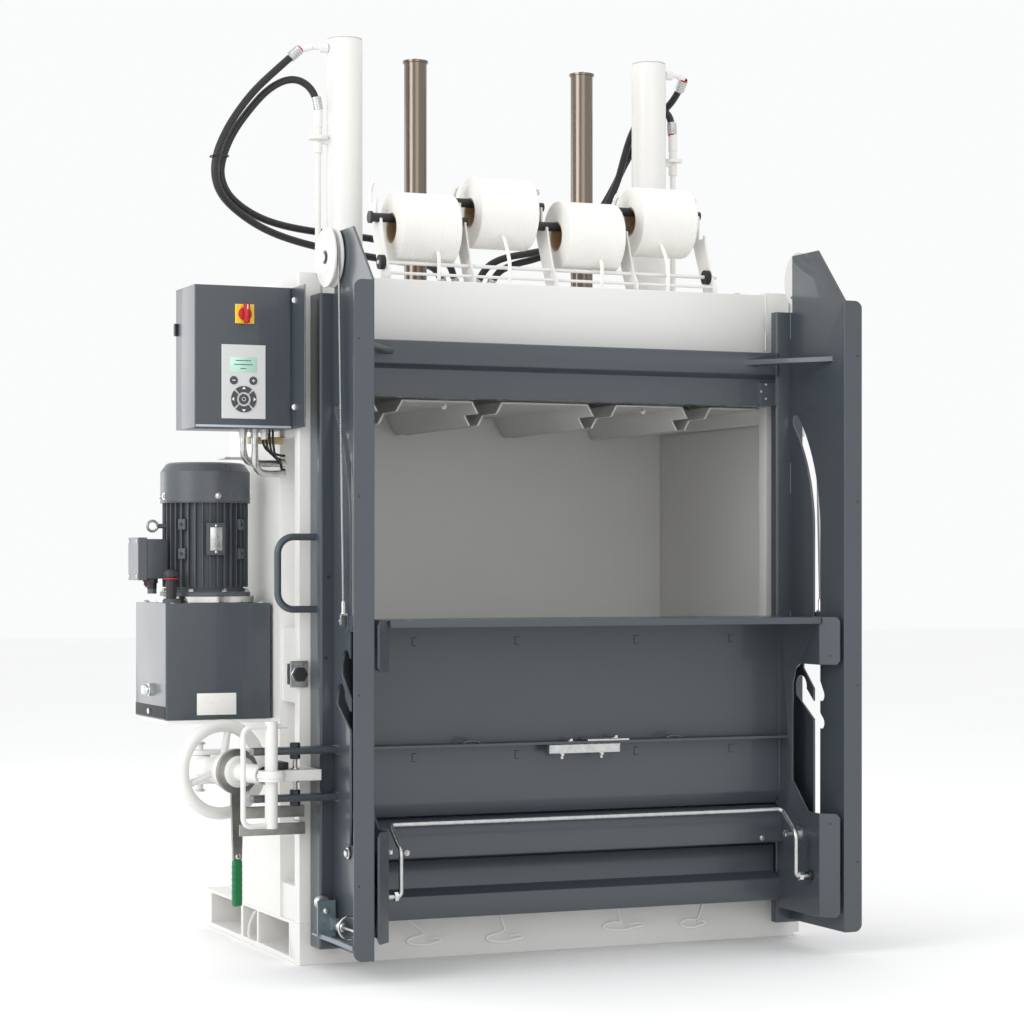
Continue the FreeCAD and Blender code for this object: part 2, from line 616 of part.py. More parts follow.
def make_pulleys():
    """Grooved rope pulleys on the outer side of each guide plate."""
    for side, hand in HANDS:
        section = [("8.4", "0"), ("pulley_radius", "0"), ("pulley_radius", "5"),
                   ("groove_radius - rope_radius", "8"), ("groove_radius - rope_radius", "16"),
                   ("pulley_radius", "19"), ("pulley_radius", "24"), ("8.4", "24")]
        start = "guide_x + 10" if hand > 0 else "-guide_x - 34"
        node(f"pulley_{side}", revolved(f"pulley_{side}", section, (start, "pulley_y", "pulley_z"), "x"))


ROPE_END_Y = -602
ROPE_END_Z = 890
WEIGHT_TOP = 1550
WEIGHT_LENGTH = 590


def make_ropes_and_weights():
    """Front and rear runs of the two ropes, and the counterweights inside the posts."""
    front_runs = []
    rear_runs = []
    groove = val("groove_radius + 0.3")
    for side, hand in HANDS:
        across = hand * (val("guide_x") + 22)
        top = Vec(across, val("pulley_y") - groove, val("pulley_z"))
        low = Vec(across, ROPE_END_Y, ROPE_END_Z + 0.6)
        run = low - top
        front = Part.makeCylinder(val("rope_radius"), run.Length, top, run)
        front_runs.append(shaped(f"front_rope_{side}", front))
        rear_runs.append(round_bar(f"rear_rope_{side}", "z", (across, val("pulley_y") + groove, WEIGHT_TOP),
                                   val("pulley_z") - WEIGHT_TOP, "rope_radius"))
        weight = block(f"weight_{side}", hand_span(hand, "door_inner + 26", "door_outer - 9"),
                       ("door_front + 12", "door_back - 20"), (WEIGHT_TOP - WEIGHT_LENGTH, WEIGHT_TOP))
        node(f"counterweight_{side}", weight)
    node("flap_ropes", group("flap_ropes", front_runs))
    node("weight_ropes", group("weight_ropes", rear_runs))


def make_foot_fittings():
    """Roller bracket at the foot of the left post, its roller, and the flap's pull-ring plunger."""
    face = block("bracket_face", ("-712", "-664"), ("-522", "-516"), ("88", "178"))
    sole = block("bracket_sole", ("-712", "-664"), ("-516", "door_front"), ("88", "94"))
    rail = block("bracket_rail", ("-706", "-694"), ("guide_front + 6", "-516"), ("84", "96"))
    pin = round_bar("bracket_pin", "y", (-692, -516, 170), 32, 5)
    cheek = block("bracket_cheek", ("-676", "-guide_x - wall"), ("-530", "-516"), ("plunger_z - 14", "plunger_z + 14"))
    boss = round_bar("bracket_boss", "y", ("plunger_x", -560, "plunger_z"), 32, 11)
    bore = round_bar("bracket_bore", "y", ("plunger_x", -562, "plunger_z"), 60, "plunger_radius + 0.4")
    welded = fuse("bracket_welded", [face, sole, rail, pin, cheek, boss])
    node("foot_bracket", cut("foot_bracket", welded, [bore]))
    section = [("5.3", "0"), ("16", "0"), ("18", "3"), ("18", "23"), ("16", "26"), ("5.3", "26")]
    node("foot_roller", revolved("foot_roller", section, (-692, -512, 170), "y"))
    stem = round_bar("plunger_stem", "y", ("plunger_x", -694, "plunger_z"), 180, "plunger_radius")
    ring = doc.addObject("Part::Torus", "plunger_ring")
    ring.Radius1 = 27
    ring.Radius2 = 3
    ring.Placement = FreeCAD.Placement(Vec(val("plunger_x") - 23, -696, val("plunger_z") + 14), AXIS_TURN["y"])
    node("ring_plunger", fuse("ring_plunger", [stem, ring]))


# ---------------------------------------------------------------- flap

def make_flap():
    """Lifting flap: folded skin with a shelf, end plates with slanting wings, and a rib."""
    ends = ("-flap_half", "flap_half")
    parts = [block("flap_shelf", ends, ("flap_front", "flap_rear"), ("flap_top - wall", "flap_top")),
             block("flap_lip", ends, ("flap_front", "flap_front + wall"), ("flap_top - 18", "flap_top - wall")),
             block("flap_panel", ends, ("flap_skin", "flap_skin + wall"), ("409", "flap_top - wall")),
             block("flap_rib", ends, ("-560", "flap_skin"), ("554", "560"))]
    parts.append(padded("flap_slope", "YZ_Plane", [("flap_skin", "409"), ("flap_skin + wall", "409"),
                                                   ("-484", "378"), ("-490", "376")], "-flap_half", "2*flap_half"))
    parts.append(padded("flap_lower", "YZ_Plane", [("-478", "262"), ("-472", "262"), ("-472", "188"), ("-511", "171"),
                                                   ("-511", "123"), ("flap_rear", "123"), ("flap_rear", "117"),
                                                   ("-517", "117"), ("-517", "175"), ("-478", "192")], "-flap_half", "2*flap_half"))
    for side, hand in HANDS:
        near = "flap_half" if hand > 0 else "-flap_half - wall"
        parts.append(flap_end(side, near))
        for index, (low, high) in enumerate((("flap_bottom", "366"), ("754", "flap_top"))):
            corners = [(0, low), (f"{hand}*(flap_wing - 10)", low), (f"{hand}*flap_wing", f"{low} + 10"),
                       (f"{hand}*flap_wing", f"{high} - 10"), (f"{hand}*(flap_wing - 10)", high), (0, high)]
            wing = padded(f"flap_wing_{side}_{index}", "XZ_Plane", corners, "-wall", "wall")
            wing.Placement = FreeCAD.Placement(Vec(hand * val("flap_half"), val("flap_bend"), 0),
                                               FreeCAD.Rotation(Z_AXIS, -45 * hand))
            parts.append(wing)
    node("flap_shell", fuse("flap_shell", parts))


def flap_end(side, near):
    """End plate of the flap, cut away at the front between its two wings."""
    body = doc.addObject("PartDesign::Body", f"flap_end_{side}")
    add_polygon(sketch_on(body, "YZ_Plane", near), [
        ("flap_rear", "flap_bottom"), ("flap_rear", "flap_top"), ("flap_bend", "flap_top"), ("flap_bend", "754"),
        ("-622", "754"), ("-597", "740"), ("-580", "700"), ("-580", "444"), ("-664", "366"), ("flap_bend", "366"),
        ("flap_bend", "flap_bottom")])
    pad = body.newObject("PartDesign::Pad", f"flap_end_pad_{side}")
    pad.Profile = doc.getObject(f"flap_end_{side}_outline")
    pad.setExpression("Length", bound("wall"))
    hole = sketch_on(body, "YZ_Plane", "flap_half + 20" if near == "flap_half" else "-flap_half + 20", "pivot")
    hole.addGeometry(Part.Circle(Vec(-686, 200, 0), Z_AXIS, 6.3), False)
    bore = body.newObject("PartDesign::Pocket", f"flap_end_pivot_{side}")
    bore.Profile = hole
    bore.Length = 40
    body.Tip = bore
    return body


def make_flap_beam():
    """Rounded stiffening beam bolted across the lower half of the flap."""
    bar = block("beam_block", ("-flap_half", "flap_half"), ("-527", "-467"), ("273", "372"))
    bore = block("beam_hollow", ("-flap_half", "flap_half"), ("-522", "-472"), ("278", "367"))
    doc.recompute()
    rounded = doc.addObject("Part::Fillet", "beam_rounded")
    rounded.Base = bar
    edge = next(index for index, line in enumerate(bar.Shape.Edges, start=1)
                if abs(line.CenterOfMass.y + 527) < 0.1 and abs(line.CenterOfMass.z - 372) < 0.1)
    rounded.Edges = [(edge, 55, 55)]
    hollow = doc.addObject("Part::Fillet", "beam_hollow_rounded")
    hollow.Base = bore
    edge = next(index for index, line in enumerate(bore.Shape.Edges, start=1)
                if abs(line.CenterOfMass.y + 522) < 0.1 and abs(line.CenterOfMass.z - 367) < 0.1)
    hollow.Edges = [(edge, 49, 49)]
    node("flap_beam", cut("flap_beam", rounded, [hollow]))


def make_flap_fittings():
    """Clamp bar with its bolts, latch plates, rope links with their axles, and the release bar."""
    bar = block("clamp_plate", ("-100", "100"), ("-566", "-548"), ("530", "554"))
    bolts = [round_bar(f"clamp_bolt_{index}", "z", (place, -557, 516), 14, 5)
             for index, place in enumerate((-62, 50))]
    latch = block("latch_plate", ("7", "125"), ("-568", "-522"), ("560", "566"))
    node("clamp_bar", group("clamp_bar", [fuse("clamp_bolted", [bar] + bolts), latch]))

    links = []
    for side, hand in HANDS:
        outward = ("guide_x + 8", "guide_x + 14")
        upright = block(f"link_upright_{side}", hand_span(hand, *outward), ("-690", "-650"), ("285", "880"))
        foot = block(f"link_foot_{side}", hand_span(hand, *outward), ("-650", "-604"), ("285", "325"))
        head = block(f"link_head_{side}", hand_span(hand, *outward), ("-650", "-590"), ("850", "890"))
        eye = block(f"link_eye_{side}", hand_span(hand, "guide_x + 14", "guide_x + 27"), ("-611", "-593"),
                    ("862", ROPE_END_Z))
        axle = round_bar(f"link_axle_{side}", "x",
                         ("flap_half + wall" if hand > 0 else "-guide_x - 8", "slot_y", 305),
                         "guide_x + 8 - flap_half - wall", 10)
        roller = round_bar(f"link_roller_{side}", "x", ("guide_x - 1" if hand > 0 else "-guide_x - 7", "slot_y", 305),
                           8, 16.5)
        links.append(fuse(f"link_{side}", [upright, foot, head, eye, axle, roller]))
    node("rope_links", group("rope_links", links))

    end_x = val("flap_half + wall - 1")
    arm_x = 552
    path = [Vec(-end_x, -686, 200), Vec(-arm_x, -686, 200), Vec(-arm_x, -686, 311), Vec(-arm_x, -608, 369),
            Vec(arm_x, -608, 369), Vec(arm_x, -686, 311), Vec(arm_x, -686, 200), Vec(end_x, -686, 200)]
    loop, _ = swept(path, [12, 30, 12, 12, 30, 12], 6)
    node("release_bar", shaped("release_bar", loop))


# ---------------------------------------------------------------- door lock on the left side

def lock_place():
    return FreeCAD.Placement(Vec(val("tbar_x"), val("tbar_y"), val("lock_z")),
                             FreeCAD.Rotation(Z_AXIS, val("arm_yaw")))


def make_lock():
    """Screw lock: T-bar spindle, nut with handwheel, loose clamp lever and the swinging arm."""
    place = lock_place()
    tbar = round_bar("tbar", "z", (0, 0, -128), 261, 16)
    eye = round_bar("tbar_eye", "z", (0, 0, -13), 26, 33)
    screw = round_bar("tbar_screw", "y", (0, 10, 0), 270, 11)
    loop_path = [Vec(0, 0, 122), Vec(-79, 0, 122), Vec(-79, 0, -122), Vec(0, 0, -122)]
    loop, _ = swept(loop_path, [22, 22], 6.5)
    stub = round_bar("tbar_stub", "x", (0, 0, 122), 46, 6)
    spindle = fuse("lock_spindle", [tbar, eye, screw, shaped("tbar_loop", loop), stub])
    spindle.Placement = place
    node("lock_spindle", spindle)

    profile = [("11.4", "40"), ("24", "40"), ("24", "150"), ("38", "150"), ("38", "164"), ("40", "166"),
               ("40", "184"), ("46", "188"), ("46", "222"), ("34", "226"), ("34", "288"), ("14", "288"),
               ("14", "330"), ("11.4", "330")]
    hub = revolved("wheel_hub", profile, (0, 0, 0), "y")
    rim = doc.addObject("Part::Torus", "wheel_rim")
    rim.Radius1 = 111.5
    rim.Radius2 = 16
    rim.Placement = FreeCAD.Placement(Vec(0, val("wheel_y"), 0), AXIS_TURN["y"])
    spokes = []
    for index, angle in enumerate((80, 200, 320)):
        spoke = doc.addObject("Part::Cylinder", f"wheel_spoke_{index}")
        spoke.Radius = 9
        spoke.Height = 80
        heading = Vec(math.cos(math.radians(angle)), 0, math.sin(math.radians(angle)))
        spoke.Placement = FreeCAD.Placement(heading * 28 + Vec(0, val("wheel_y"), 0),
                                            FreeCAD.Rotation(Z_AXIS, heading))
        spokes.append(spoke)
    solid_wheel = fuse("wheel_solid", [hub, rim] + spokes)
    wheel = cut("handwheel", solid_wheel, [round_bar("wheel_bore", "y", (0, 30, 0), 310, 11.4)])
    wheel.Placement = place
    node("handwheel", wheel)

    ring = tube("lever_ring", "y", (0, 168, 0), 14, 57, 40.4)
    arm_plate = padded("lever_plate", "XZ_Plane", [("-18", "-50"), ("18", "-50"), ("12", "-222"), ("-12", "-222")],
                       "-179", "8")
    lever = fuse("lock_lever", [ring, arm_plate])
    lever.Placement = place
    node("lock_lever", lever)
    grip = block("lever_grip", ("-13", "13"), ("167", "183"), ("-340", "-222"))
    doc.recompute()
    soft = doc.addObject("Part::Fillet", "lever_grip_rounded")
    soft.Base = grip
    soft.Edges = [(index, 6, 6) for index in range(1, 13)]
    soft.Placement = place
    node("lever_grip", soft)

    housing = tube("arm_housing", "y", (0, 296, 0), 52, 28, 14.4)
    knuckle = round_bar("arm_knuckle", "z", (0, "arm_length", -30), 60, 26)
    bore = round_bar("arm_bore", "z", (0, "arm_length", -31), 62, 8.4)
    arm = cut("lock_arm", fuse("arm_solid", [housing, knuckle]), [bore])
    arm.Placement = place
    node("lock_arm", arm)


def make_lock_bracket():
    """Frame brackets of the lock: two pivot plates with the pin, stop plate and two rest bars."""
    place = lock_place()
    pivot = place.multVec(Vec(0, val("arm_length"), 0))
    parts = []
    for index, low in enumerate((-43, 31)):
        plate = block(f"pivot_plate_{index}", (pivot.x, "-side_outer"), (pivot.y - 27, pivot.y + 27),
                      (f"lock_z + {low}", f"lock_z + {low + 12}"))
        nose = round_bar(f"pivot_nose_{index}", "z", (pivot.x, pivot.y, f"lock_z + {low}"), 12, 27)
        parts += [plate, nose]
    parts.append(block("pivot_web", ("-side_outer - 40", "-side_outer"), (pivot.y - 4, pivot.y + 4),
                       ("lock_z - 31", "lock_z + 31")))
    parts.append(round_bar("pivot_pin", "z", (pivot.x, pivot.y, "lock_z - 58"), 116, 8))
    stop = block("stop_plate", ("-805", "-700"), ("-518", "front_face"), ("lock_z - 16", "lock_z + 11"))
    upper_bar = fuse("rest_bar_upper", [block("upper_flat", ("-876", "-719"), ("-440", "-434"), ("381", "411")),
                                        block("upper_tab", ("-725", "-719"), ("-434", "-370"), ("381", "411"))])
    lower_bar = fuse("rest_bar_lower", [block("lower_flat", ("-890", "-719"), ("-446", "-440"), ("338", "368")),
                                        block("lower_tab", ("-725", "-719"), ("-440", "-370"), ("338", "368"))])
    node("lock_bracket", group("lock_bracket", [fuse("pivot_bracket", parts), stop, upper_bar, lower_bar]))


def make_door_sensor():
    """Plated sensor bracket on the left post with a six-sided knob."""
    plate = block("sensor_plate", ("-744", "-698"), ("-406", "front_face"), ("705", "772"))
    tab = block("sensor_tab", ("-744", "-738"), ("-400", "-376"), ("712", "765"))
    knob = doc.addObject("Part::Prism", "sensor_knob")
    knob.Polygon = 6
    knob.Circumradius = 20
    knob.Height = 16
    knob.Placement = FreeCAD.Placement(Vec(-722, -406, 738), FreeCAD.Rotation(X_AXIS, 90))
    node("door_sensor", fuse("door_sensor", [plate, tab, knob]))


# ---------------------------------------------------------------- hydraulic unit and cabinet

def make_power_unit():
    """Oil tank, ribbed motor with cowl and terminal box, and the filler neck."""
    tank = block("tank_body", ("tank_left", "tank_right"), ("tank_front", "tank_rear"), ("tank_bottom", "tank_top"))
    doc.recompute()
    edges = [(index, 5, 5) for index, line in enumerate(tank.Shape.Edges, start=1)
             if abs(line.CenterOfMass.z - val("(tank_bottom + tank_top)/2")) < 1]
    softened = doc.addObject("Part::Fillet", "oil_tank")
    softened.Base = tank
    softened.Edges = edges
    node("oil_tank", softened)

    centre = ("motor_x", "motor_y", 0)
    profile = [("0", "tank_top"), ("103", "tank_top"), ("103", "tank_top + 34"), ("motor_radius", "tank_top + 38"),
               ("motor_radius", "1180"), ("0", "1180")]
    casing = revolved("motor_casing", profile, centre, "z")
    eye_stem = round_bar("motor_eye_stem", "x", (-996, -60, 1116), 40, 6)
    eye_ring = doc.addObject("Part::Torus", "motor_eye_ring")
    eye_ring.Radius1 = 13.5
    eye_ring.Radius2 = 3.5
    eye_ring.Placement = FreeCAD.Placement(Vec(-1008, -60, 1116), AXIS_TURN["y"])
    fins = [eye_stem, eye_ring]
    fin_count = 36
    for index in range(fin_count):
        fin = doc.addObject("Part::Box", f"motor_fin_{index}")
        fin.Length = 13
        fin.Width = 3
        fin.Height = 222
        turn = FreeCAD.Rotation(Z_AXIS, 360 * index / fin_count)
        offset = turn.multVec(Vec(val("motor_radius") - 1, -1.5, 0))
        fin.Placement = FreeCAD.Placement(Vec(val("motor_x"), val("motor_y"), 957) + offset, turn)
        fins.append(fin)
    node("motor_housing", fuse("motor_housing", [casing] + fins))

    cowl = [("0", "1180"), ("cowl_radius", "1180"), ("cowl_radius", "1258"), ("cowl_radius - 14", "1278"),
            ("cowl_radius - 22", "1282"), ("0", "1282")]
    node("motor_cowl", revolved("motor_cowl", cowl, centre, "z"))

    body = block("terminal_body", ("-1030", "motor_x - motor_radius - 12.5"), ("-87", "7"), ("979", "1082"))
    lid = block("terminal_lid", ("-1054", "-1030"), ("-90", "10"), ("975", "1086"))
    gland = round_bar("terminal_gland", "z", (-1012, -70, 940), 39, 12)
    node("terminal_box", fuse("terminal_box", [body, lid, gland]))

    neck = [("0", "tank_top"), ("14", "tank_top"), ("14", "985"), ("20", "985"), ("20", "999"), ("17", "1003"),
            ("0", "1003")]
    node("filler_cap", revolved("filler_cap", neck, (-983, -150, 0), "z"))


def make_cabinet():
    """Control cabinet: sheet box with a mounting plate, front cover, key panel, switch plate and knob."""
    left, right = "cabinet_left", "cabinet_right"
    shell = block("cabinet_shell", (left, right), ("cabinet_front", "cabinet_rear"),
                  ("cabinet_bottom", "cabinet_top"))
    bore = block("cabinet_bore", (f"{left} + 2", f"{right} - 2"), ("cabinet_front", "cabinet_rear - 2"),
                 ("cabinet_bottom + 2", "cabinet_top - 2"))
    box = cut("cabinet_tray", shell, [bore])
    side = padded("cabinet_side", "YZ_Plane", [("-489", "cabinet_bottom + 1"), ("-489", "cabinet_top"),
                                               ("cabinet_rear", "cabinet_top"),
                                               ("cabinet_rear", "cabinet_bottom + 1")], right, "3")
    arm = block("cabinet_arm", (f"{right} + 3", "-side_outer"), ("-360", "-230"),
                ("cabinet_bottom + 40", "cabinet_top - 40"))
    holes = []
    for index, level in enumerate((1413, 1683)):
        holes.append(round_bar(f"keyhole_round_{index}", "x", (f"{right} - 1", -410, level), 5, 7))
        holes.append(block(f"keyhole_slot_{index}", (f"{right} - 1", f"{right} + 4"), ("-413.5", "-406.5"),
                           (level - 28, level)))
    node("cabinet_box", cut("cabinet_box", fuse("cabinet_solid", [box, side, arm]), holes))
    node("cabinet_cover", block("cabinet_cover", (left, f"{right} - 3"), ("cabinet_front - 3", "cabinet_front"),
                                ("cabinet_bottom", "cabinet_top")))
    node("key_panel", block("key_panel", ("-920", "-805"), ("cabinet_front - 6", "cabinet_front - 3"),
                            ("1382", "1568")))
    node("switch_plate", block("switch_plate", ("-885", "-835"), ("cabinet_front - 7", "cabinet_front - 3"),
                               ("1621", "1670")))
    disc = round_bar("switch_disc", "y", (-860, "cabinet_front - 15", 1645.5), 8, 19)
    bar = block("switch_bar", ("-866", "-854"), ("cabinet_front - 30", "cabinet_front - 15"), ("1618", "1667"))
    node("main_switch", fuse("main_switch", [disc, bar]))


# ---------------------------------------------------------------- hoses

def make_pipework():
    """Return pipes beside the cylinders, elbows at their heads, hose ferrules and the valve block."""
    for side, hand in HANDS:
        pipe_x = val(f"{hand}*533")
        bracket = hand_span(hand, "cylinder_x + cylinder_radius - 1", "533")
        parts = [round_bar(f"riser_{side}", "z", (pipe_x, 0, "header_top"), 420, 8),
                 round_bar(f"riser_union_{side}", "z", (pipe_x, 0, 2125), 30, 12),
                 round_bar(f"riser_disc_{side}", "z", (pipe_x, 0, 2161), 9, 27),
                 block(f"riser_arm_{side}", bracket, ("-7", "7"), ("2150", "2166")),
                 round_bar(f"riser_nut_{side}", "z", (pipe_x, 0, 2170), 24, 11),
                 round_bar(f"riser_ferrule_{side}", "z", (pipe_x, 0, 2194), 48, 12.5)]
        bend = Vec(hand * 552, 0, 2409)
        end = Vec(*HOSE_ROUTES[f"hose_{side}_top"][0])
        arm_start = "cylinder_x + cylinder_radius - 1" if hand > 0 else bend.x
        parts.append(round_bar(f"port_pipe_{side}", "x", (arm_start, 0, bend.z),
                               "552 - cylinder_x - cylinder_radius + 1", 6))
        knee = Part.makeSphere(7, bend).fuse(Part.makeCylinder(9, (end - bend).Length, bend, end - bend))
        parts.append(shaped(f"port_knee_{side}", knee))
        parts.append(round_bar(f"port_nut_{side}", "x", (507 if hand > 0 else -529, 0, 2409), 22, 13))
        PIPEWORK.append(fuse(f"pipework_{side}", parts))
    ports = [block("valve_block", ("-100", "100"), ("215", "300"), ("header_top", "header_top + 30"))]
    for name, route in HOSE_ROUTES.items():
        end = Vec(*route[-1])
        ports.append(round_bar(f"{name}_port", "z", (end.x, end.y, "header_top + 24"),
                               f"{end.z} - header_top - 24", 12))
    PIPEWORK.append(fuse("valve", ports))
    node("pipework", group("pipework", PIPEWORK))


PIPEWORK = []

HOSE_ROUTES = {
    "hose_left_top": [(-588, 0, 2398), (-656, -4, 2337), (-716, -8, 2279), (-760, -10, 2222), (-792, -12, 2172),
                      (-821, -13, 2108), (-828, -12, 2048), (-806, -4, 1994), (-743, 10, 1946), (-661, 30, 1909),
                      (-552, 62, 1886), (-436, 96, 1874), (-320, 134, 1866), (-220, 172, 1862), (-138, 214, 1866),
                      (-86, 242, 1848), (-70, 252, 1800)],
    "hose_left_return": [(-533, 0, 2242), (-538, 2, 2276), (-558, 5, 2306), (-590, 9, 2322), (-628, 13, 2316),
                         (-674, 15, 2286), (-718, 16, 2236), (-765, 17, 2172), (-794, 18, 2105), (-802, 18, 2048),
                         (-774, 22, 1994), (-699, 42, 1952), (-611, 66, 1932), (-492, 100, 1924), (-370, 130, 1922),
                         (-250, 164, 1916), (-140, 206, 1908), (-66, 244, 1886), (-34, 260, 1846),
                         (-30, 262, 1800)],
    "hose_right_top": [(566, 0, 2397), (563, 34, 2358), (532, 72, 2312), (486, 96, 2256), (440, 108, 2180),
                       (402, 120, 2095), (356, 142, 2010), (294, 172, 1938), (208, 210, 1896), (134, 238, 1878),
                       (84, 250, 1848), (70, 252, 1800)],
    "hose_right_return": [(531, 0, 2242), (534, 8, 2276), (530, 26, 2306), (512, 48, 2322), (484, 68, 2312),
                          (458, 80, 2282), (438, 87, 2236), (420, 92, 2172), (404, 94, 2112), (374, 104, 2040),
                          (324, 126, 1972), (252, 160, 1926), (176, 196, 1908), (102, 232, 1896), (50, 256, 1862),
                          (30, 262, 1800)],
}


def make_hoses():
    """Four rubber hoses, each a run of straights and tangent arcs."""
    for name, route in HOSE_ROUTES.items():
        points = [Vec(*place) for place in route]
        radii = largest_radii(points)
        solid, length = swept(points, radii, val("hose_radius"))
        expected = math.pi * val("hose_radius") ** 2 * length
        print(name, "length", round(length), "smallest radius", round(min(radii)), "volume ratio",
              round(solid.Volume / expected, 4))
        node(name, shaped(name, solid))


# ---------------------------------------------------------------- strap rack

def make_rack():
    """Strap rack: five notched plates on two rods, four loose spindles, end discs and strap rolls."""
    outline = [("-392", "header_top"), ("-322", "header_top"), ("-262", "1880"), ("-238", "1935"), ("-230", "1985"),
               ("-238", "2012"), ("-254", "2024"), ("-268", "2022"), ("-270", "2012"), ("-256", "2004"),
               ("-249", "1990"), ("-249", "1962"), ("-276", "1962"), ("-281", "1972"), ("-288", "1970"),
               ("-288", "1950"), ("-287.5", "1906"), ("-313", "1906"), ("-317", "1916"), ("-325", "1914"),
               ("-328", "1898"), ("-345", "1850"), ("-366", "1800"), ("-392", "1768")]
    pitch = val("rack_half") / 2
    parts = [padded(f"rack_plate_{index}", "YZ_Plane", outline, (index - 2) * pitch - 2.5, "5") for index in range(5)]
    parts.append(round_bar("rack_rod_upper", "x", ("-rack_half - 20", "rack_rod_y", "rack_rod_z"),
                           "2*rack_half + 40", 5))
    parts.append(round_bar("rack_rod_lower", "x", ("-rack_half", "-372", "1768"), "2*rack_half", 4))
    node("strap_rack", fuse("strap_rack", parts))
    discs = [tube(f"rack_disc_{side}", "x", ("rack_half - 16.8" if hand > 0 else "-rack_half - 17",
                                             "rack_rod_y", "rack_rod_z"), 14, 19, 5.2)
             for side, hand in HANDS]
    node("rack_discs", group("rack_discs", discs))

    spindles = []
    for index in range(4):
        low = index % 2 == 0
        row_y = "low_roll_y" if low else "high_roll_y"
        row_z = "low_roll_z" if low else "high_roll_z"
        first_plate = (index - 2) * pitch
        height = f"{row_z} + core_radius - spindle_radius - 0.3"
        rod = round_bar(f"spindle_rod_{index}", "x", (first_plate - 18, row_y, height), pitch + 32,
                        "spindle_radius")
        knob = round_bar(f"spindle_knob_{index}", "x", (first_plate - 26, row_y, height), 8, "spindle_radius + 4")
        spindles.append(fuse(f"spindle_{index}", [rod, knob]))
        section = [("core_radius", "0"), ("core_radius + 5", "-2"), ("core_radius + 5", "0"),
                   ("roll_radius - 4", "0"), ("roll_radius", "4"), ("roll_radius", "roll_width - 4"),
                   ("roll_radius - 4", "roll_width"), ("core_radius", "roll_width")]
        roll_start = first_plate + (pitch - val("roll_width")) / 2
        node(f"strap_roll_{index + 1}", revolved(f"strap_roll_{index + 1}", section, (roll_start, row_y, row_z), "x"))
    node("roll_spindles", group("roll_spindles", spindles))


# ---------------------------------------------------------------- build, check and write

for make in (make_base, make_side_frames, make_rear_wall, make_header, make_cylinders, make_rods, make_columns,
             make_platen, make_door_posts, make_door_beam, make_door_panel, make_guides, make_door_fittings,
             make_pulleys, make_ropes_and_weights, make_foot_fittings, make_flap, make_flap_beam,
             make_flap_fittings, make_lock, make_lock_bracket, make_door_sensor, make_power_unit, make_cabinet,
             make_pipework, make_hoses, make_rack):
    make()

doc.recompute()

failed = [item.Name for item in doc.Objects if "Invalid" in item.State or "Error" in item.State]
if failed:
    raise RuntimeError(f"objects that did not compute: {failed}")
for name, item in NODES:
    if item.Shape.isNull() or not item.Shape.isValid():
        raise RuntimeError(f"{name} has no valid shape")

os.makedirs("parts", exist_ok=True)
for name, item in NODES:
    item.Shape.exportStep(f"parts/{name}.step")
print(len(NODES), "sub-parts written")
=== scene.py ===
"""Vertical recycling baler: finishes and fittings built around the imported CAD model."""

import json
import math

import bmesh
import bpy
from bpy.props import FloatProperty, FloatVectorProperty, IntProperty
from mathutils import Matrix, Vector

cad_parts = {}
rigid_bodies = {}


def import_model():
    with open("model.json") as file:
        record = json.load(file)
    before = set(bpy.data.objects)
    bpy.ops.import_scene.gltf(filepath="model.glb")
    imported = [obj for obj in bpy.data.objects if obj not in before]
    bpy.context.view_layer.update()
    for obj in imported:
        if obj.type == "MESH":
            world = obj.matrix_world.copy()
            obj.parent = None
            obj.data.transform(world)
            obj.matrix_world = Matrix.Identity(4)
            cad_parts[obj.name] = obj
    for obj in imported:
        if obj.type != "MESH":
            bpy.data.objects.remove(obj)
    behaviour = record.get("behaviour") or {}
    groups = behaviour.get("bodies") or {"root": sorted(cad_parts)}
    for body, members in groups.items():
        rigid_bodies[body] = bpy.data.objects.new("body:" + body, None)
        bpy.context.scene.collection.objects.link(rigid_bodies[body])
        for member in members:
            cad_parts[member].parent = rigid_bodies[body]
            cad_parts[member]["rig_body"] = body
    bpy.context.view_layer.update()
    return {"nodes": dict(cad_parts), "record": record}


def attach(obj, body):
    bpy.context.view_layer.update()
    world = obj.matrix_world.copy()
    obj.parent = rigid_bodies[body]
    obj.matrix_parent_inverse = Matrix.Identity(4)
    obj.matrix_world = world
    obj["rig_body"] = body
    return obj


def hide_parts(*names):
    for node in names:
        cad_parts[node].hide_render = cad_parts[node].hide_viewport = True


bl_info = {
    "name": "Recycling baler",
    "version": (1, 0, 0),
    "blender": (4, 5, 0),
    "location": "3D View > Sidebar > Baler",
    "description": "Builds the finishes and small fittings of a vertical recycling baler",
    "category": "Object",
}

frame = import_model()
NODE_SLOT = {row["node"]: row["material_slot"] for row in frame["record"]["subparts"]}
MM = 0.001
SIDES = (("left", -1), ("right", 1))
LEFT, RIGHT = (-1, 0, 0), (1, 0, 0)
FRONT, BACK, DOWN, UP = (0, -1, 0), (0, 1, 0), (0, 0, -1), (0, 0, 1)
SHARP = math.radians(30)


def linear(code):
    """Linear colour of a six-digit web colour."""
    parts = [int(code[place:place + 2], 16) / 255 for place in (0, 2, 4)]
    return tuple(c / 12.92 if c <= 0.04045 else ((c + 0.055) / 1.055) ** 2.4 for c in parts)


# ---------------------------------------------------------------- settings

def paint(label, about, code):
    return FloatVectorProperty(name=label, description=about, default=linear(code), subtype="COLOR", min=0, max=1)


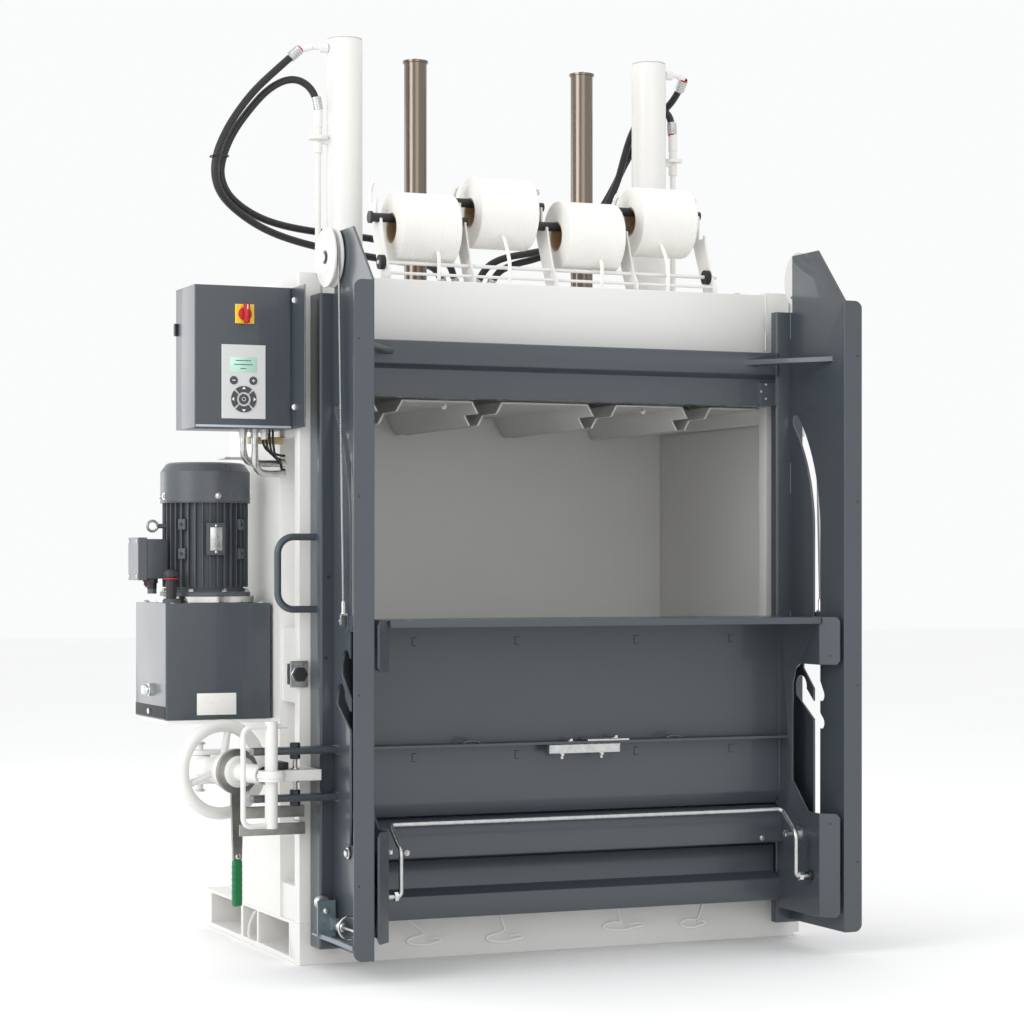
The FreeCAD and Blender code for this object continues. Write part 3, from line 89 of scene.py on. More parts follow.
class BalerPaint(bpy.types.PropertyGroup):
    door_grey: paint("Door grey", "Powder coat of the door, flap, cabinet and tank", "3e454c")
    frame_white: paint("Frame white", "Powder coat of the frame, crosshead and lock", "e2e1de")
    machine_grey: paint("Machine grey", "Paint of the motor and its cowl", "53585d")
    panel_grey: paint("Panel grey", "Key panel membrane", "d3d4d3")
    grip_green: paint("Grip green", "Soft grip of the clamp lever", "1a7443")
    switch_yellow: paint("Switch yellow", "Plate of the main switch", "f0c419")
    switch_red: paint("Switch red", "Knob of the main switch and hose marker rings", "b51d27")
    strap_white: paint("Strap white", "Woven strap tape", "f3f1ec")


def distance(label, about, metres):
    return FloatProperty(name=label, description=about, default=metres, unit="LENGTH", subtype="DISTANCE")


def power(label, about, watts):
    return FloatProperty(name=label, description=about, default=watts, subtype="POWER")


class BalerFittings(bpy.types.PropertyGroup):
    edge_width: distance("Edge width", "Broken edge of sheet and plate parts", 1.1 * MM)
    hose_diameter: distance("Hose diameter", "Outside diameter of the hydraulic hoses", 20 * MM)
    bolt_sides: IntProperty(name="Bolt sides", description="Flats on each bolt head", default=6, min=3, max=12)
    bead_pitch: distance("Bead pitch", "Distance between ripples of a weld", 3 * MM)
    tape_width: distance("Tape width", "Width of the strap tape", 12 * MM)


class BalerStudio(bpy.types.PropertyGroup):
    lens: FloatProperty(name="Lens", description="Focal length of the camera in millimetres", default=93.94)
    key_power: power("Key light", "Power of the large light on the left", 165)
    side_power: power("Side light", "Power of the light behind on the left", 52)
    fill_power: power("Fill light", "Power of the light in front", 75)
    top_power: power("Top light", "Power of the light above", 40)
    floor_size: distance("Floor size", "Side of the square floor", 60)


# ---------------------------------------------------------------- finishes

class Nodes:
    """Short way to build a node tree."""

    def __init__(self, tree):
        self.tree = tree

    def add(self, kind, values=None, **settings):
        item = self.tree.nodes.new(kind)
        for key, value in settings.items():
            setattr(item, key, value)
        for key, value in (values or {}).items():
            item.inputs[key].default_value = value
        return item

    def link(self, source, target):
        self.tree.links.new(source, target)

    def wire(self, source, output, target, entry):
        """A link between two nodes by their sockets' names."""
        self.link(source.outputs[output], target.inputs[entry])


def shaded(colour, share):
    """A colour made lighter or darker by a share, with full alpha."""
    return tuple(min(1, c * share) for c in colour[:3]) + (1,)


def new_finish(name, colour, rough, metal=0.0, mottle=(3, 0.06), grain=(700, 0.05), stretch=(1, 1, 1),
               wear=0.0, coat=0.0, specular=0.5, rough_swing=0.06):
    """Paint, metal or plastic whose tone, gloss and fine relief all vary over the surface."""
    material = bpy.data.materials.new(name)
    material.use_nodes = True
    n = Nodes(material.node_tree)
    shader = material.node_tree.nodes["Principled BSDF"]
    shader.inputs["Metallic"].default_value = metal
    shader.inputs["Coat Weight"].default_value = coat
    shader.inputs["Specular IOR Level"].default_value = specular
    place = n.add("ShaderNodeTexCoord")
    scale = n.add("ShaderNodeMapping", {"Scale": stretch})
    n.wire(place, "Object", scale, "Vector")
    tone = n.add("ShaderNodeTexNoise", {"Scale": mottle[0], "Detail": 5, "Roughness": 0.6})
    n.wire(scale, "Vector", tone, "Vector")
    ramp = n.add("ShaderNodeValToRGB")
    ramp.color_ramp.elements[0].position = 0.3
    ramp.color_ramp.elements[1].position = 0.7
    ramp.color_ramp.elements[0].color = shaded(colour, 1 - mottle[1])
    ramp.color_ramp.elements[1].color = shaded(colour, 1 + mottle[1])
    n.wire(tone, "Fac", ramp, "Fac")
    result = ramp.outputs["Color"]
    if wear:
        scuff = n.add("ShaderNodeTexNoise", {"Scale": 38, "Detail": 8, "Roughness": 0.75, "Distortion": 0.6})
        n.wire(place, "Object", scuff, "Vector")
        edge = n.add("ShaderNodeMapRange", {"From Min": 0.66, "From Max": 0.74, "To Max": wear})
        n.wire(scuff, "Fac", edge, "Value")
        mix = n.add("ShaderNodeMix", data_type="RGBA")
        mix.inputs["B"].default_value = shaded(colour, 0.72 if sum(colour[:3]) > 1 else 1.5)
        n.wire(edge, "Result", mix, "Factor")
        n.link(result, mix.inputs["A"])
        result = mix.outputs["Result"]
    n.link(result, shader.inputs["Base Color"])
    gloss = n.add("ShaderNodeMapRange", {"From Min": 0.3, "From Max": 0.7, "To Min": max(0.03, rough - rough_swing),
                                         "To Max": rough + rough_swing})
    n.wire(tone, "Fac", gloss, "Value")
    n.wire(gloss, "Result", shader, "Roughness")
    relief = n.add("ShaderNodeTexNoise", {"Scale": grain[0], "Detail": 3})
    n.wire(scale, "Vector", relief, "Vector")
    bump = n.add("ShaderNodeBump", {"Strength": grain[1], "Distance": 0.001})
    n.wire(relief, "Fac", bump, "Height")
    n.wire(bump, "Normal", shader, "Normal")
    return material


def new_strand_finish(name, colour, pitch, rough, metal, slant, depth):
    """Twisted wire or woven tape: slanting ridges over Object coordinates."""
    material = new_finish(name, colour, rough, metal, grain=(900, 0.1))
    n = Nodes(material.node_tree)
    place = next(item for item in material.node_tree.nodes if item.type == "TEX_COORD")
    bump = next(item for item in material.node_tree.nodes if item.type == "BUMP")
    turn = n.add("ShaderNodeMapping", {"Rotation": slant})
    ridges = n.add("ShaderNodeTexWave", {"Scale": 1 / pitch / 3.2, "Distortion": 0.4, "Detail Scale": 30},
                   bands_direction="Z", wave_profile="SIN")
    ridge_bump = n.add("ShaderNodeBump", {"Strength": depth, "Distance": 0.001})
    n.wire(place, "Object", turn, "Vector")
    n.wire(turn, "Vector", ridges, "Vector")
    n.wire(ridges, "Fac", ridge_bump, "Height")
    n.wire(bump, "Normal", ridge_bump, "Normal")
    shader = material.node_tree.nodes["Principled BSDF"]
    n.wire(ridge_bump, "Normal", shader, "Normal")
    return material


FINISH = {}


def make_finishes(colours):
    """All materials of the baler."""
    grey = dict(rough=0.33, grain=(650, 0.14), mottle=(2.2, 0.05), wear=0.14, specular=0.6, coat=0.25)
    white = dict(rough=0.42, grain=(650, 0.14), mottle=(2.0, 0.025), wear=0.1)
    steel = dict(metal=1.0, mottle=(60, 0.12), grain=(420, 0.12))
    recipes = {
        "door_grey": dict(colour=colours.door_grey, **grey),
        "frame_white": dict(colour=colours.frame_white, **white),
        "motor_grey": dict(colour=colours.machine_grey, rough=0.3, grain=(500, 0.2), mottle=(9, 0.08), wear=0.2),
        "motor_alloy": dict(colour=shaded(colours.machine_grey, 0.8), rough=0.52, grain=(260, 0.35),
                            mottle=(14, 0.12), wear=0.15),
        "column_steel": dict(colour="7c7268", rough=0.24, metal=1.0, mottle=(1.6, 0.16), grain=(300, 0.08),
                             stretch=(1, 1, 0.06)),
        "rod_chrome": dict(colour="d9dadb", rough=0.09, metal=1.0, mottle=(2, 0.03), grain=(200, 0.02),
                           stretch=(1, 1, 0.1)),
        "zinc_steel": dict(colour="c6c8c6", rough=0.3, **steel),
        "bright_steel": dict(colour="dcdcd9", rough=0.2, metal=1.0, mottle=(40, 0.06), grain=(300, 0.05)),
        "lever_steel": dict(colour="a5a49e", rough=0.42, metal=1.0, mottle=(30, 0.16), grain=(160, 0.3)),
        "dark_steel": dict(colour="3b3d40", rough=0.42, metal=0.9, mottle=(30, 0.15), grain=(300, 0.2)),
        "weight_iron": dict(colour="4a4644", rough=0.7, metal=0.5, mottle=(25, 0.25), grain=(120, 0.6)),
        "grip_green": dict(colour=colours.grip_green, rough=0.5, mottle=(8, 0.05), grain=(900, 0.25)),
        "panel_grey": dict(colour=colours.panel_grey, rough=0.38, mottle=(12, 0.02), grain=(1200, 0.06)),
        "key_dark": dict(colour="43474b", rough=0.4, mottle=(40, 0.05), grain=(1200, 0.06)),
        "key_mark": dict(colour="f2f2f0", rough=0.45, mottle=(40, 0.02), grain=(1200, 0.04)),
        "display_green": dict(colour="b9e2cf", rough=0.16, mottle=(30, 0.05), grain=(900, 0.02), coat=0.4),
        "switch_yellow": dict(colour=colours.switch_yellow, rough=0.26, mottle=(20, 0.03), grain=(900, 0.06)),
        "switch_red": dict(colour=colours.switch_red, rough=0.26, mottle=(20, 0.04), grain=(900, 0.06)),
        "black_plastic": dict(colour="232427", rough=0.4, mottle=(30, 0.12), grain=(800, 0.18)),
        "disc_rubber": dict(colour="1c1c1e", rough=0.62, mottle=(20, 0.15), grain=(400, 0.3)),
        "hose_rubber": dict(colour="1b1b1d", rough=0.42, mottle=(26, 0.2), grain=(520, 0.3)),
        "card_brown": dict(colour="a98c68", rough=0.85, mottle=(60, 0.12), grain=(260, 0.5)),
        "sight_glass": dict(colour="dfe3e4", rough=0.12, metal=0.8, mottle=(30, 0.05), grain=(300, 0.03)),
        "plate_white": dict(colour="e9e8e4", rough=0.3, mottle=(20, 0.02), grain=(900, 0.04)),
        "tie_sand": dict(colour="c9b884", rough=0.5, mottle=(30, 0.08), grain=(500, 0.2)),
        "bracket_grey": dict(colour="7c8b93", rough=0.3, metal=0.5, mottle=(30, 0.08), grain=(400, 0.15)),
        # painted highlight: weld ripples lighter than the door paint, for the light they catch
        "weld_painted_highlight": dict(colour="6b7880", rough=0.35, metal=0.3, mottle=(60, 0.1), grain=(400, 0.3)),
        # painted highlight: the light blue-grey that the door paint shows on an edge catching light
        "painted_edge_highlight": dict(colour="aeb9bf", rough=0.3, mottle=(20, 0.04), grain=(600, 0.1)),
        # painted shade: a near-black finish put in holes, slots and gaps, where only shade is seen
        "painted_hole_shade": dict(colour="2b2d30", rough=0.7, mottle=(12, 0.15), grain=(300, 0.3)),
        "strap_white": dict(colour=colours.strap_white, rough=0.42, mottle=(30, 0.03), grain=(500, 0.25)),
    }
    for name, recipe in recipes.items():
        if isinstance(recipe["colour"], str):
            recipe["colour"] = linear(recipe["colour"])
        FINISH[name] = new_finish(name, **recipe)
    FINISH["wire_rope"] = new_strand_finish("wire_rope", linear("b0b1b0"), 0.004, 0.34, 1.0, (0.9, 0.4, 0), 0.9)
    FINISH["woven_tape"] = new_strand_finish("woven_tape", colours.strap_white, 0.003, 0.45, 0.0, (0.3, 0.3, 0), 0.5)


def dress(node, finish):
    """Gives a kept CAD node its finish."""
    mesh = frame["nodes"][node].data
    mesh.materials.clear()
    mesh.materials.append(FINISH[finish])


def box_of(node):
    """Lowest and highest corner of a CAD node, in millimetres to a tenth."""
    spread = list(zip(*(vert.co for vert in frame["nodes"][node].data.vertices)))
    return [Vector(round(end(along) / MM, 1) for along in spread) for end in (min, max)]


def middle_of(node):
    """Middle of a CAD node's box, in millimetres to a tenth."""
    low, high = box_of(node)
    return Vector(round(place, 1) for place in (low + high) / 2)


# ---------------------------------------------------------------- shapes

class Shape:
    """Closed solids gathered in one mesh. Sizes and places are in millimetres."""

    def __init__(self, name):
        self.name = name
        self.mesh = bmesh.new()
        self.finishes = []

    def take(self, part, finish):
        """Adds a small mesh with its finish, faces turned outwards."""
        if finish not in self.finishes:
            self.finishes.append(finish)
        bmesh.ops.remove_doubles(part, verts=part.verts, dist=0.01)
        bmesh.ops.recalc_face_normals(part, faces=part.faces)
        for face in part.faces:
            face.material_index = self.finishes.index(finish)
            face.smooth = True
        bmesh.ops.transform(part, matrix=Matrix.Scale(MM, 4), verts=part.verts)
        mesh = bpy.data.meshes.new("part")
        part.to_mesh(mesh)
        part.free()
        self.mesh.from_mesh(mesh)
        bpy.data.meshes.remove(mesh)

    def box(self, x, y, z, finish, bevel=0.8, turn=None):
        """A block between two levels on each axis, its edges rounded, turned about its middle."""
        part = bmesh.new()
        bmesh.ops.create_cube(part, size=1)
        size = Vector((x[1] - x[0], y[1] - y[0], z[1] - z[0]))
        middle = Vector((x[0] + x[1], y[0] + y[1], z[0] + z[1])) / 2
        for vert in part.verts:
            vert.co = Vector(a * b for a, b in zip(vert.co, size))
        if bevel:
            bmesh.ops.bevel(part, geom=part.edges, offset=min(bevel, min(size) * 0.4), segments=2, profile=0.5,
                            affect="EDGES")
        matrix = Matrix.Translation(middle) @ (turn or Matrix.Identity(4))
        bmesh.ops.transform(part, matrix=matrix, verts=part.verts)
        self.take(part, finish)

    def plate(self, outline, plane, low, high, finish, bevel=0.0):
        """A flat outline given thickness across its plane, one of xy, xz and yz."""
        part = bmesh.new()
        order = {"xy": (0, 1, 2), "xz": (0, 2, 1), "yz": (1, 2, 0)}[plane]
        rings = []
        for level in (low, high):
            ring = []
            for first, second in outline:
                co = [0, 0, 0]
                co[order[0]], co[order[1]], co[order[2]] = first, second, level
                ring.append(part.verts.new(co))
            rings.append(ring)
        part.faces.new(rings[0])
        part.faces.new(rings[1])
        for index in range(len(outline)):
            nxt = (index + 1) % len(outline)
            part.faces.new((rings[0][index], rings[0][nxt], rings[1][nxt], rings[1][index]))
        if bevel:
            bmesh.ops.bevel(part, geom=part.edges, offset=bevel, segments=1, affect="EDGES")
        self.take(part, finish)

    def turned(self, start, heading, profile, finish, segments=32):
        """A turned part: profile gives radius and distance from start along heading, and rings leave a bore."""
        part = bmesh.new()
        axis = Vector(heading).normalized()
        side = axis.orthogonal().normalized()
        other = axis.cross(side)
        rings = []
        for radius, along in profile:
            centre = Vector(start) + axis * along
            if radius == 0:
                rings.append([part.verts.new(centre)])
                continue
            angles = [2 * math.pi * step / segments for step in range(segments)]
            rings.append([part.verts.new(centre + (side * math.cos(a) + other * math.sin(a)) * radius)
                          for a in angles])
        pairs = list(zip(rings, rings[1:]))
        if profile[0][0] > 0:
            pairs.append((rings[-1], rings[0]))
        for near, far in pairs:
            for step in range(segments):
                nxt = (step + 1) % segments
                corners = [near[step % len(near)], near[nxt % len(near)], far[nxt % len(far)], far[step % len(far)]]
                corners = list(dict.fromkeys(corners))
                if len(corners) > 2:
                    part.faces.new(corners)
        self.take(part, finish)

    def disc(self, start, heading, radius, depth, finish, segments=32, bore=0):
        """A plain disc, or a plain ring where it has a bore."""
        profile = [(bore, 0), (radius, 0), (radius, depth), (bore, depth)]
        self.turned(start, heading, profile, finish, segments)

    def head(self, start, heading, radius, edge, crown, depth, finish, segments=32, bore=0):
        """A disc whose rim is chamfered from edge up to a smaller crown at depth; six segments make a nut."""
        profile = [(bore, 0), (radius, 0), (radius, edge), (crown, depth), (bore, depth)]
        self.turned(start, heading, profile, finish, segments)

    def bar(self, start, end, radius, finish, segments=24, edge=0.8):
        """A round bar between two points, its ends broken."""
        run = Vector(end) - Vector(start)
        edge = min(edge, radius * 0.4, run.length * 0.4)
        profile = [(0, 0), (radius - edge, 0), (radius, edge), (radius, run.length - edge),
                   (radius - edge, run.length), (0, run.length)]
        self.turned(start, run, profile, finish, segments)

    def ring(self, centre, heading, major, minor, finish, segments=48, sides=12):
        """A torus square to its heading."""
        profile = [(major + minor * math.cos(2 * math.pi * step / sides), minor * math.sin(2 * math.pi * step / sides))
                   for step in range(sides)]
        self.turned(centre, heading, profile, finish, segments)

    def wire(self, points, radius, finish, sides=10, smooth=0, flat=1.0):
        """A wire or tape through points, square to the run; flat under 1 makes a tape. Returns its centreline."""
        part = bmesh.new()
        points = [Vector(point) for point in points]
        for _ in range(smooth):
            cut = [points[0]]
            for near, far in zip(points, points[1:]):
                cut += [near.lerp(far, 0.25), near.lerp(far, 0.75)]
            points = cut + [points[-1]]
        axis = (points[1] - points[0]).normalized()
        side = axis.orthogonal().normalized() if flat == 1.0 else Vector(RIGHT)
        rings = []
        for index, point in enumerate(points):
            before = points[max(index - 1, 0)]
            after = points[min(index + 1, len(points) - 1)]
            heading = (after - before).normalized()
            side = (side - heading * side.dot(heading)).normalized()
            other = heading.cross(side)
            angles = [2 * math.pi * step / sides for step in range(sides)]
            rings.append([part.verts.new(point + side * math.cos(a) * radius + other * math.sin(a) * radius * flat)
                          for a in angles])
        for near, far in zip(rings, rings[1:]):
            for step in range(sides):
                nxt = (step + 1) % sides
                part.faces.new((near[step], near[nxt], far[nxt], far[step]))
        part.faces.new(rings[0])
        part.faces.new(rings[-1])
        self.take(part, finish)
        return points

    def done(self, body, replaces=()):
        """The finished piece, riding on its body."""
        mesh = bpy.data.meshes.new(self.name)
        self.mesh.to_mesh(mesh)
        self.mesh.free()
        for finish in self.finishes:
            mesh.materials.append(FINISH[finish])
        mesh.set_sharp_from_angle(angle=SHARP)
        return settle(new_object(self.name, mesh), body, replaces)


def new_object(name, data):
    """An object in the scene, at the origin."""
    piece = bpy.data.objects.new(name, data)
    bpy.context.scene.collection.objects.link(piece)
    return piece


def settle(piece, body, replaces=()):
    """Puts a finished piece on its body, in place of the CAD nodes that it replaces."""
    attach(piece, body)
    if replaces:
        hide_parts(*replaces)
    return piece


FOLD_LENGTH = 150 * MM
FOLD_REACH = 16 * MM
BROKEN_LENGTH = 9 * MM


def is_fold(edge):
    """Whether an edge is a sheet's fold: sharp, convex and long, with broad faces on both sides."""
    if len(edge.link_faces) != 2 or not edge.is_convex or edge.calc_length() < FOLD_LENGTH:
        return False
    if edge.calc_face_angle() < SHARP:
        return False
    start = edge.verts[0].co
    along = (edge.verts[1].co - start).normalized()
    reaches = []
    for face in edge.link_faces:
        offsets = [vert.co - start for vert in face.verts]
        reaches.append(max((offset - along * offset.dot(along)).length for offset in offsets))
    return min(reaches) > FOLD_REACH


def soften(node, finish, width, fold):
    """A copy of a plate part with rounded folds and broken edges, which stands for the CAD node."""
    source = frame["nodes"][node]
    part = bmesh.new()
    part.from_mesh(source.data)
    bmesh.ops.remove_doubles(part, verts=part.verts, dist=1e-5)
    bmesh.ops.dissolve_limit(part, angle_limit=math.radians(0.5), verts=part.verts, edges=part.edges)
    bends = [edge for edge in part.edges if is_fold(edge)]
    bmesh.ops.bevel(part, geom=bends, offset=fold, segments=4, profile=0.5, affect="EDGES", clamp_overlap=True)
    crisp = [edge for edge in part.edges
             if len(edge.link_faces) == 2 and edge.calc_length() > BROKEN_LENGTH and edge.calc_face_angle() > SHARP]
    bmesh.ops.bevel(part, geom=crisp, offset=width, segments=1, profile=0.5, affect="EDGES", clamp_overlap=False)
    for face in part.faces:
        face.smooth = True
        face.material_index = 0
    mesh = bpy.data.meshes.new(node + "_finished")
    part.to_mesh(mesh)
    part.free()
    mesh.materials.append(FINISH[finish])
    mesh.set_sharp_from_angle(angle=math.radians(25))
    return settle(new_object(mesh.name, mesh), source["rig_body"], (node,))


def repaint(piece, finish, chosen):
    """Gives the faces whose centre passes a test, in metres, another finish."""
    piece.data.materials.append(FINISH[finish])
    for face in piece.data.polygons:
        if chosen(face.center):
            face.material_index = len(piece.data.materials) - 1


# ---------------------------------------------------------------- repeated fittings

def repeat_tree(name, sizes, build):
    """A tree that puts one small shape, turned to each point's facing, on every point of a mesh."""
    tree = bpy.data.node_groups.new(name, "GeometryNodeTree")
    face = tree.interface
    face.new_socket("Places", in_out="INPUT", socket_type="NodeSocketGeometry")
    for label, default in sizes.items():
        kind = "NodeSocketInt" if isinstance(default, int) else "NodeSocketFloat"
        face.new_socket(label, in_out="INPUT", socket_type=kind).default_value = default
    face.new_socket("Finish", in_out="INPUT", socket_type="NodeSocketMaterial")
    face.new_socket("Fittings", in_out="OUTPUT", socket_type="NodeSocketGeometry")
    n = Nodes(tree)
    given = n.add("NodeGroupInput")
    facing = n.add("GeometryNodeInputNamedAttribute", {"Name": "facing"}, data_type="FLOAT_VECTOR")
    align = n.add("FunctionNodeAlignRotationToVector", axis="Z")
    n.wire(facing, "Attribute", align, "Vector")
    place = n.add("GeometryNodeInstanceOnPoints")
    n.wire(given, "Places", place, "Points")
    n.link(build(n, given), place.inputs["Instance"])
    n.wire(align, "Rotation", place, "Rotation")
    real = n.add("GeometryNodeRealizeInstances")
    paint_all = n.add("GeometryNodeSetMaterial")
    result = n.add("NodeGroupOutput")
    n.wire(place, "Instances", real, "Geometry")
    n.wire(real, "Geometry", paint_all, "Geometry")
    n.wire(given, "Finish", paint_all, "Material")
    n.wire(paint_all, "Geometry", result, "Fittings")
    return tree


def raised(n, source, height):
    """Source geometry lifted along Z by a height socket."""
    lift = n.add("ShaderNodeCombineXYZ")
    move = n.add("GeometryNodeTransform")
    n.link(height, lift.inputs["Z"])
    n.link(source, move.inputs["Geometry"])
    n.wire(lift, "Vector", move, "Translation")
    return move.outputs["Geometry"]


def build_bolt(n, given):
    """A washer, a head with flats and its chamfered crown."""
    def cone(sides, low, high, depth):
        item = n.add("GeometryNodeMeshCone")
        for source, target in ((sides, "Vertices"), (low, "Radius Bottom"), (high, "Radius Top"), (depth, "Depth")):
            if isinstance(source, (int, float)):
                item.inputs[target].default_value = source
            else:
                n.link(source, item.inputs[target])
        return item.outputs["Mesh"]

    def scaled(source, share):
        item = n.add("ShaderNodeMath", {1: share}, operation="MULTIPLY")
        n.link(source, item.inputs[0])
        return item.outputs["Value"]

    radius = given.outputs["Head Radius"]
    height = given.outputs["Head Height"]
    washer = cone(24, given.outputs["Washer Radius"], given.outputs["Washer Radius"], scaled(height, 0.25))
    flats = cone(given.outputs["Sides"], radius, radius, scaled(height, 0.8))
    crown = cone(given.outputs["Sides"], radius, given.outputs["Crown Radius"], scaled(height, 0.2))
    join = n.add("GeometryNodeJoinGeometry")
    n.link(washer, join.inputs["Geometry"])
    n.link(raised(n, flats, scaled(height, 0.2)), join.inputs["Geometry"])
    n.link(raised(n, crown, height), join.inputs["Geometry"])
    return join.outputs["Geometry"]


def build_bead(n, given):
    """One ripple of a weld: a flattened ball."""
    ball = n.add("GeometryNodeMeshIcoSphere", {"Subdivisions": 2})
    n.wire(given, "Bead Radius", ball, "Radius")
    squash = n.add("GeometryNodeTransform", {"Scale": (1, 1, 0.5)})
    n.wire(ball, "Mesh", squash, "Geometry")
    return squash.outputs["Geometry"]


TREES = {}


def make_trees(fittings):
    """The node trees that repeat bolt heads and the ripples of welds."""
    TREES["bolt"] = repeat_tree("bolt_heads", {"Sides": fittings.bolt_sides, "Head Radius": 7 * MM,
                                               "Head Height": 5 * MM, "Crown Radius": 5 * MM,
                                               "Washer Radius": 9 * MM}, build_bolt)
    TREES["bead"] = repeat_tree("weld_ripples", {"Bead Radius": 3 * MM}, build_bead)


def repeated(name, kind, body, slot, finish, places, **sizes):
    """Fittings at places, each a point and the way it faces, both in millimetres."""
    mesh = bpy.data.meshes.new(name)
    mesh.from_pydata([Vector(point) * MM for point, _ in places], [], [])
    facing = mesh.attributes.new("facing", "FLOAT_VECTOR", "POINT")
    facing.data.foreach_set("vector", [number for _, way in places for number in Vector(way).normalized()])
    piece = new_object(name, mesh)
    modifier = piece.modifiers.new("fittings", "NODES")
    modifier.node_group = TREES[kind]
    sockets = {item.name: item.identifier for item in TREES[kind].interface.items_tree if item.in_out == "INPUT"}
    for label, value in sizes.items():
        modifier[sockets[label.replace("_", " ").title()]] = value if label == "sides" else value * MM
    modifier[sockets["Finish"]] = FINISH[finish]
    graph = bpy.context.evaluated_depsgraph_get()
    made = bpy.data.meshes.new_from_object(piece.evaluated_get(graph))
    piece.modifiers.clear()
    piece.data = made
    made.name = name
    bpy.data.meshes.remove(mesh)
    made.set_sharp_from_angle(angle=SHARP)
    return settle(piece, body)


def bolts(name, body, finish, places, radius, height, washer=1.35, sides=6, crown=0.8):
    """Bolt heads; the washer's and the crown's radii are shares of the head's."""
    return repeated(name, "bolt", body, "zinc_steel", finish, places, head_radius=radius, head_height=height,
                    washer_radius=radius * washer, sides=sides, crown_radius=radius * crown)


def weld_places(runs, pitch):
    """Ripple places along straight runs, each a start, an end and the way it faces."""
    places = []
    for start, end, way in runs:
        start, end = Vector(start), Vector(end)
        steps = max(2, round((end - start).length / pitch))
        places += [(start.lerp(end, step / steps), way) for step in range(steps + 1)]
    return places


# ---------------------------------------------------------------- operators

class Builder:
    """What every operator of the baler shares."""
    bl_options = {"REGISTER", "UNDO"}

    def execute(self, context):
        self.build(context)
        return {"FINISHED"}


# The camera's place in metres, its turn from straight ahead, and its lens shift.
CAMERA_PLACE = (-2.86339, -6.83511, 1.01177)
CAMERA_TURN = math.radians(22.98)
CAMERA_RISE = 0.0528


class BALER_OT_stage(Builder, bpy.types.Operator):
    """Pale floor, soft lights and the camera"""
    bl_idname = "baler.stage"
    bl_label = "Studio"

    def build(self, context):
        studio = context.scene.baler_studio
        scene = context.scene
        scene.view_settings.view_transform = "Standard"
        camera = bpy.data.cameras.new("camera")
        camera.lens = studio.lens
        camera.shift_y = CAMERA_RISE
        camera.clip_end = 200
        view = new_object("camera", camera)
        view.location = CAMERA_PLACE
        view.rotation_euler = (math.pi / 2, 0, -CAMERA_TURN)
        scene.camera = view

        mesh = bpy.data.meshes.new("floor")
        half = studio.floor_size / 2
        mesh.from_pydata([(-half, -half, 0), (half, -half, 0), (half, half, 0), (-half, half, 0)], [], [(0, 1, 2, 3)])
        mesh.materials.append(new_finish("floor_pale", linear("fbfbfb"), 0.9, mottle=(0.6, 0.01), grain=(60, 0.02)))
        new_object("floor", mesh)

        world = bpy.data.worlds.new("studio")
        world.use_nodes = True
        back = world.node_tree.nodes["Background"]
        back.inputs["Color"].default_value = (0.99, 0.995, 1.0, 1)
        back.inputs["Strength"].default_value = 0.97
        scene.world = world
        for name, place, aim, size, power in (
                ("key_left", (-6.5, -2.5, 3.4), (-0.6, 0, 1.1), 4.0, studio.key_power),
                ("side_left", (-3.7, 5.2, 1.7), (-1.0, 0, 1.2), 3.2, studio.side_power),
                ("fill_front", (-1.0, -8.5, 3.6), (0, 0, 1.0), 4.5, studio.fill_power),
                ("top_soft", (0.0, -0.5, 6.5), (0, 0, 1.0), 5.0, studio.top_power)):
            light = bpy.data.lights.new(name, "AREA")
            light.size = size
            light.energy = power
            lamp = new_object(name, light)
            lamp.location = place
            lamp.rotation_euler = (Vector(aim) - Vector(place)).to_track_quat("-Z", "Y").to_euler()


# Hydraulic hoses, each a run of points from the fitting on the cylinder to the valve block.
HOSES = {
    "hose_left_top": (1.333, [
        (-588, 0, 2398), (-656, -4, 2337), (-716, -8, 2279), (-760, -10, 2222), (-792, -12, 2172), (-821, -13, 2108),
        (-828, -12, 2048), (-806, -4, 1994), (-743, 10, 1946), (-661, 30, 1909), (-552, 62, 1886), (-436, 96, 1874),
        (-320, 134, 1866), (-220, 172, 1862), (-138, 214, 1866), (-86, 242, 1848), (-70, 252, 1800)]),
    "hose_left_return": (1.387, [
        (-533, 0, 2242), (-538, 2, 2276), (-558, 5, 2306), (-590, 9, 2322), (-628, 13, 2316), (-674, 15, 2286),
        (-718, 16, 2236), (-765, 17, 2172), (-794, 18, 2105), (-802, 18, 2048), (-774, 22, 1994), (-699, 42, 1952),
        (-611, 66, 1932), (-492, 100, 1924), (-370, 130, 1922), (-250, 164, 1916), (-140, 206, 1908),
        (-66, 244, 1886), (-34, 260, 1846), (-30, 262, 1800)]),
    "hose_right_top": (0.865, [
        (566, 0, 2397), (563, 34, 2358), (532, 72, 2312), (486, 96, 2256), (440, 108, 2180), (402, 120, 2095),
        (356, 142, 2010), (294, 172, 1938), (208, 210, 1896), (134, 238, 1878), (84, 250, 1848), (70, 252, 1800)]),
    "hose_right_return": (0.909, [
        (531, 0, 2242), (534, 8, 2276), (530, 26, 2306), (512, 48, 2322), (484, 68, 2312), (458, 80, 2282),
        (438, 87, 2236), (420, 92, 2172), (404, 94, 2112), (374, 104, 2040), (324, 126, 1972), (252, 160, 1926),
        (176, 196, 1908), (102, 232, 1896), (50, 256, 1862), (30, 262, 1800)]),
}


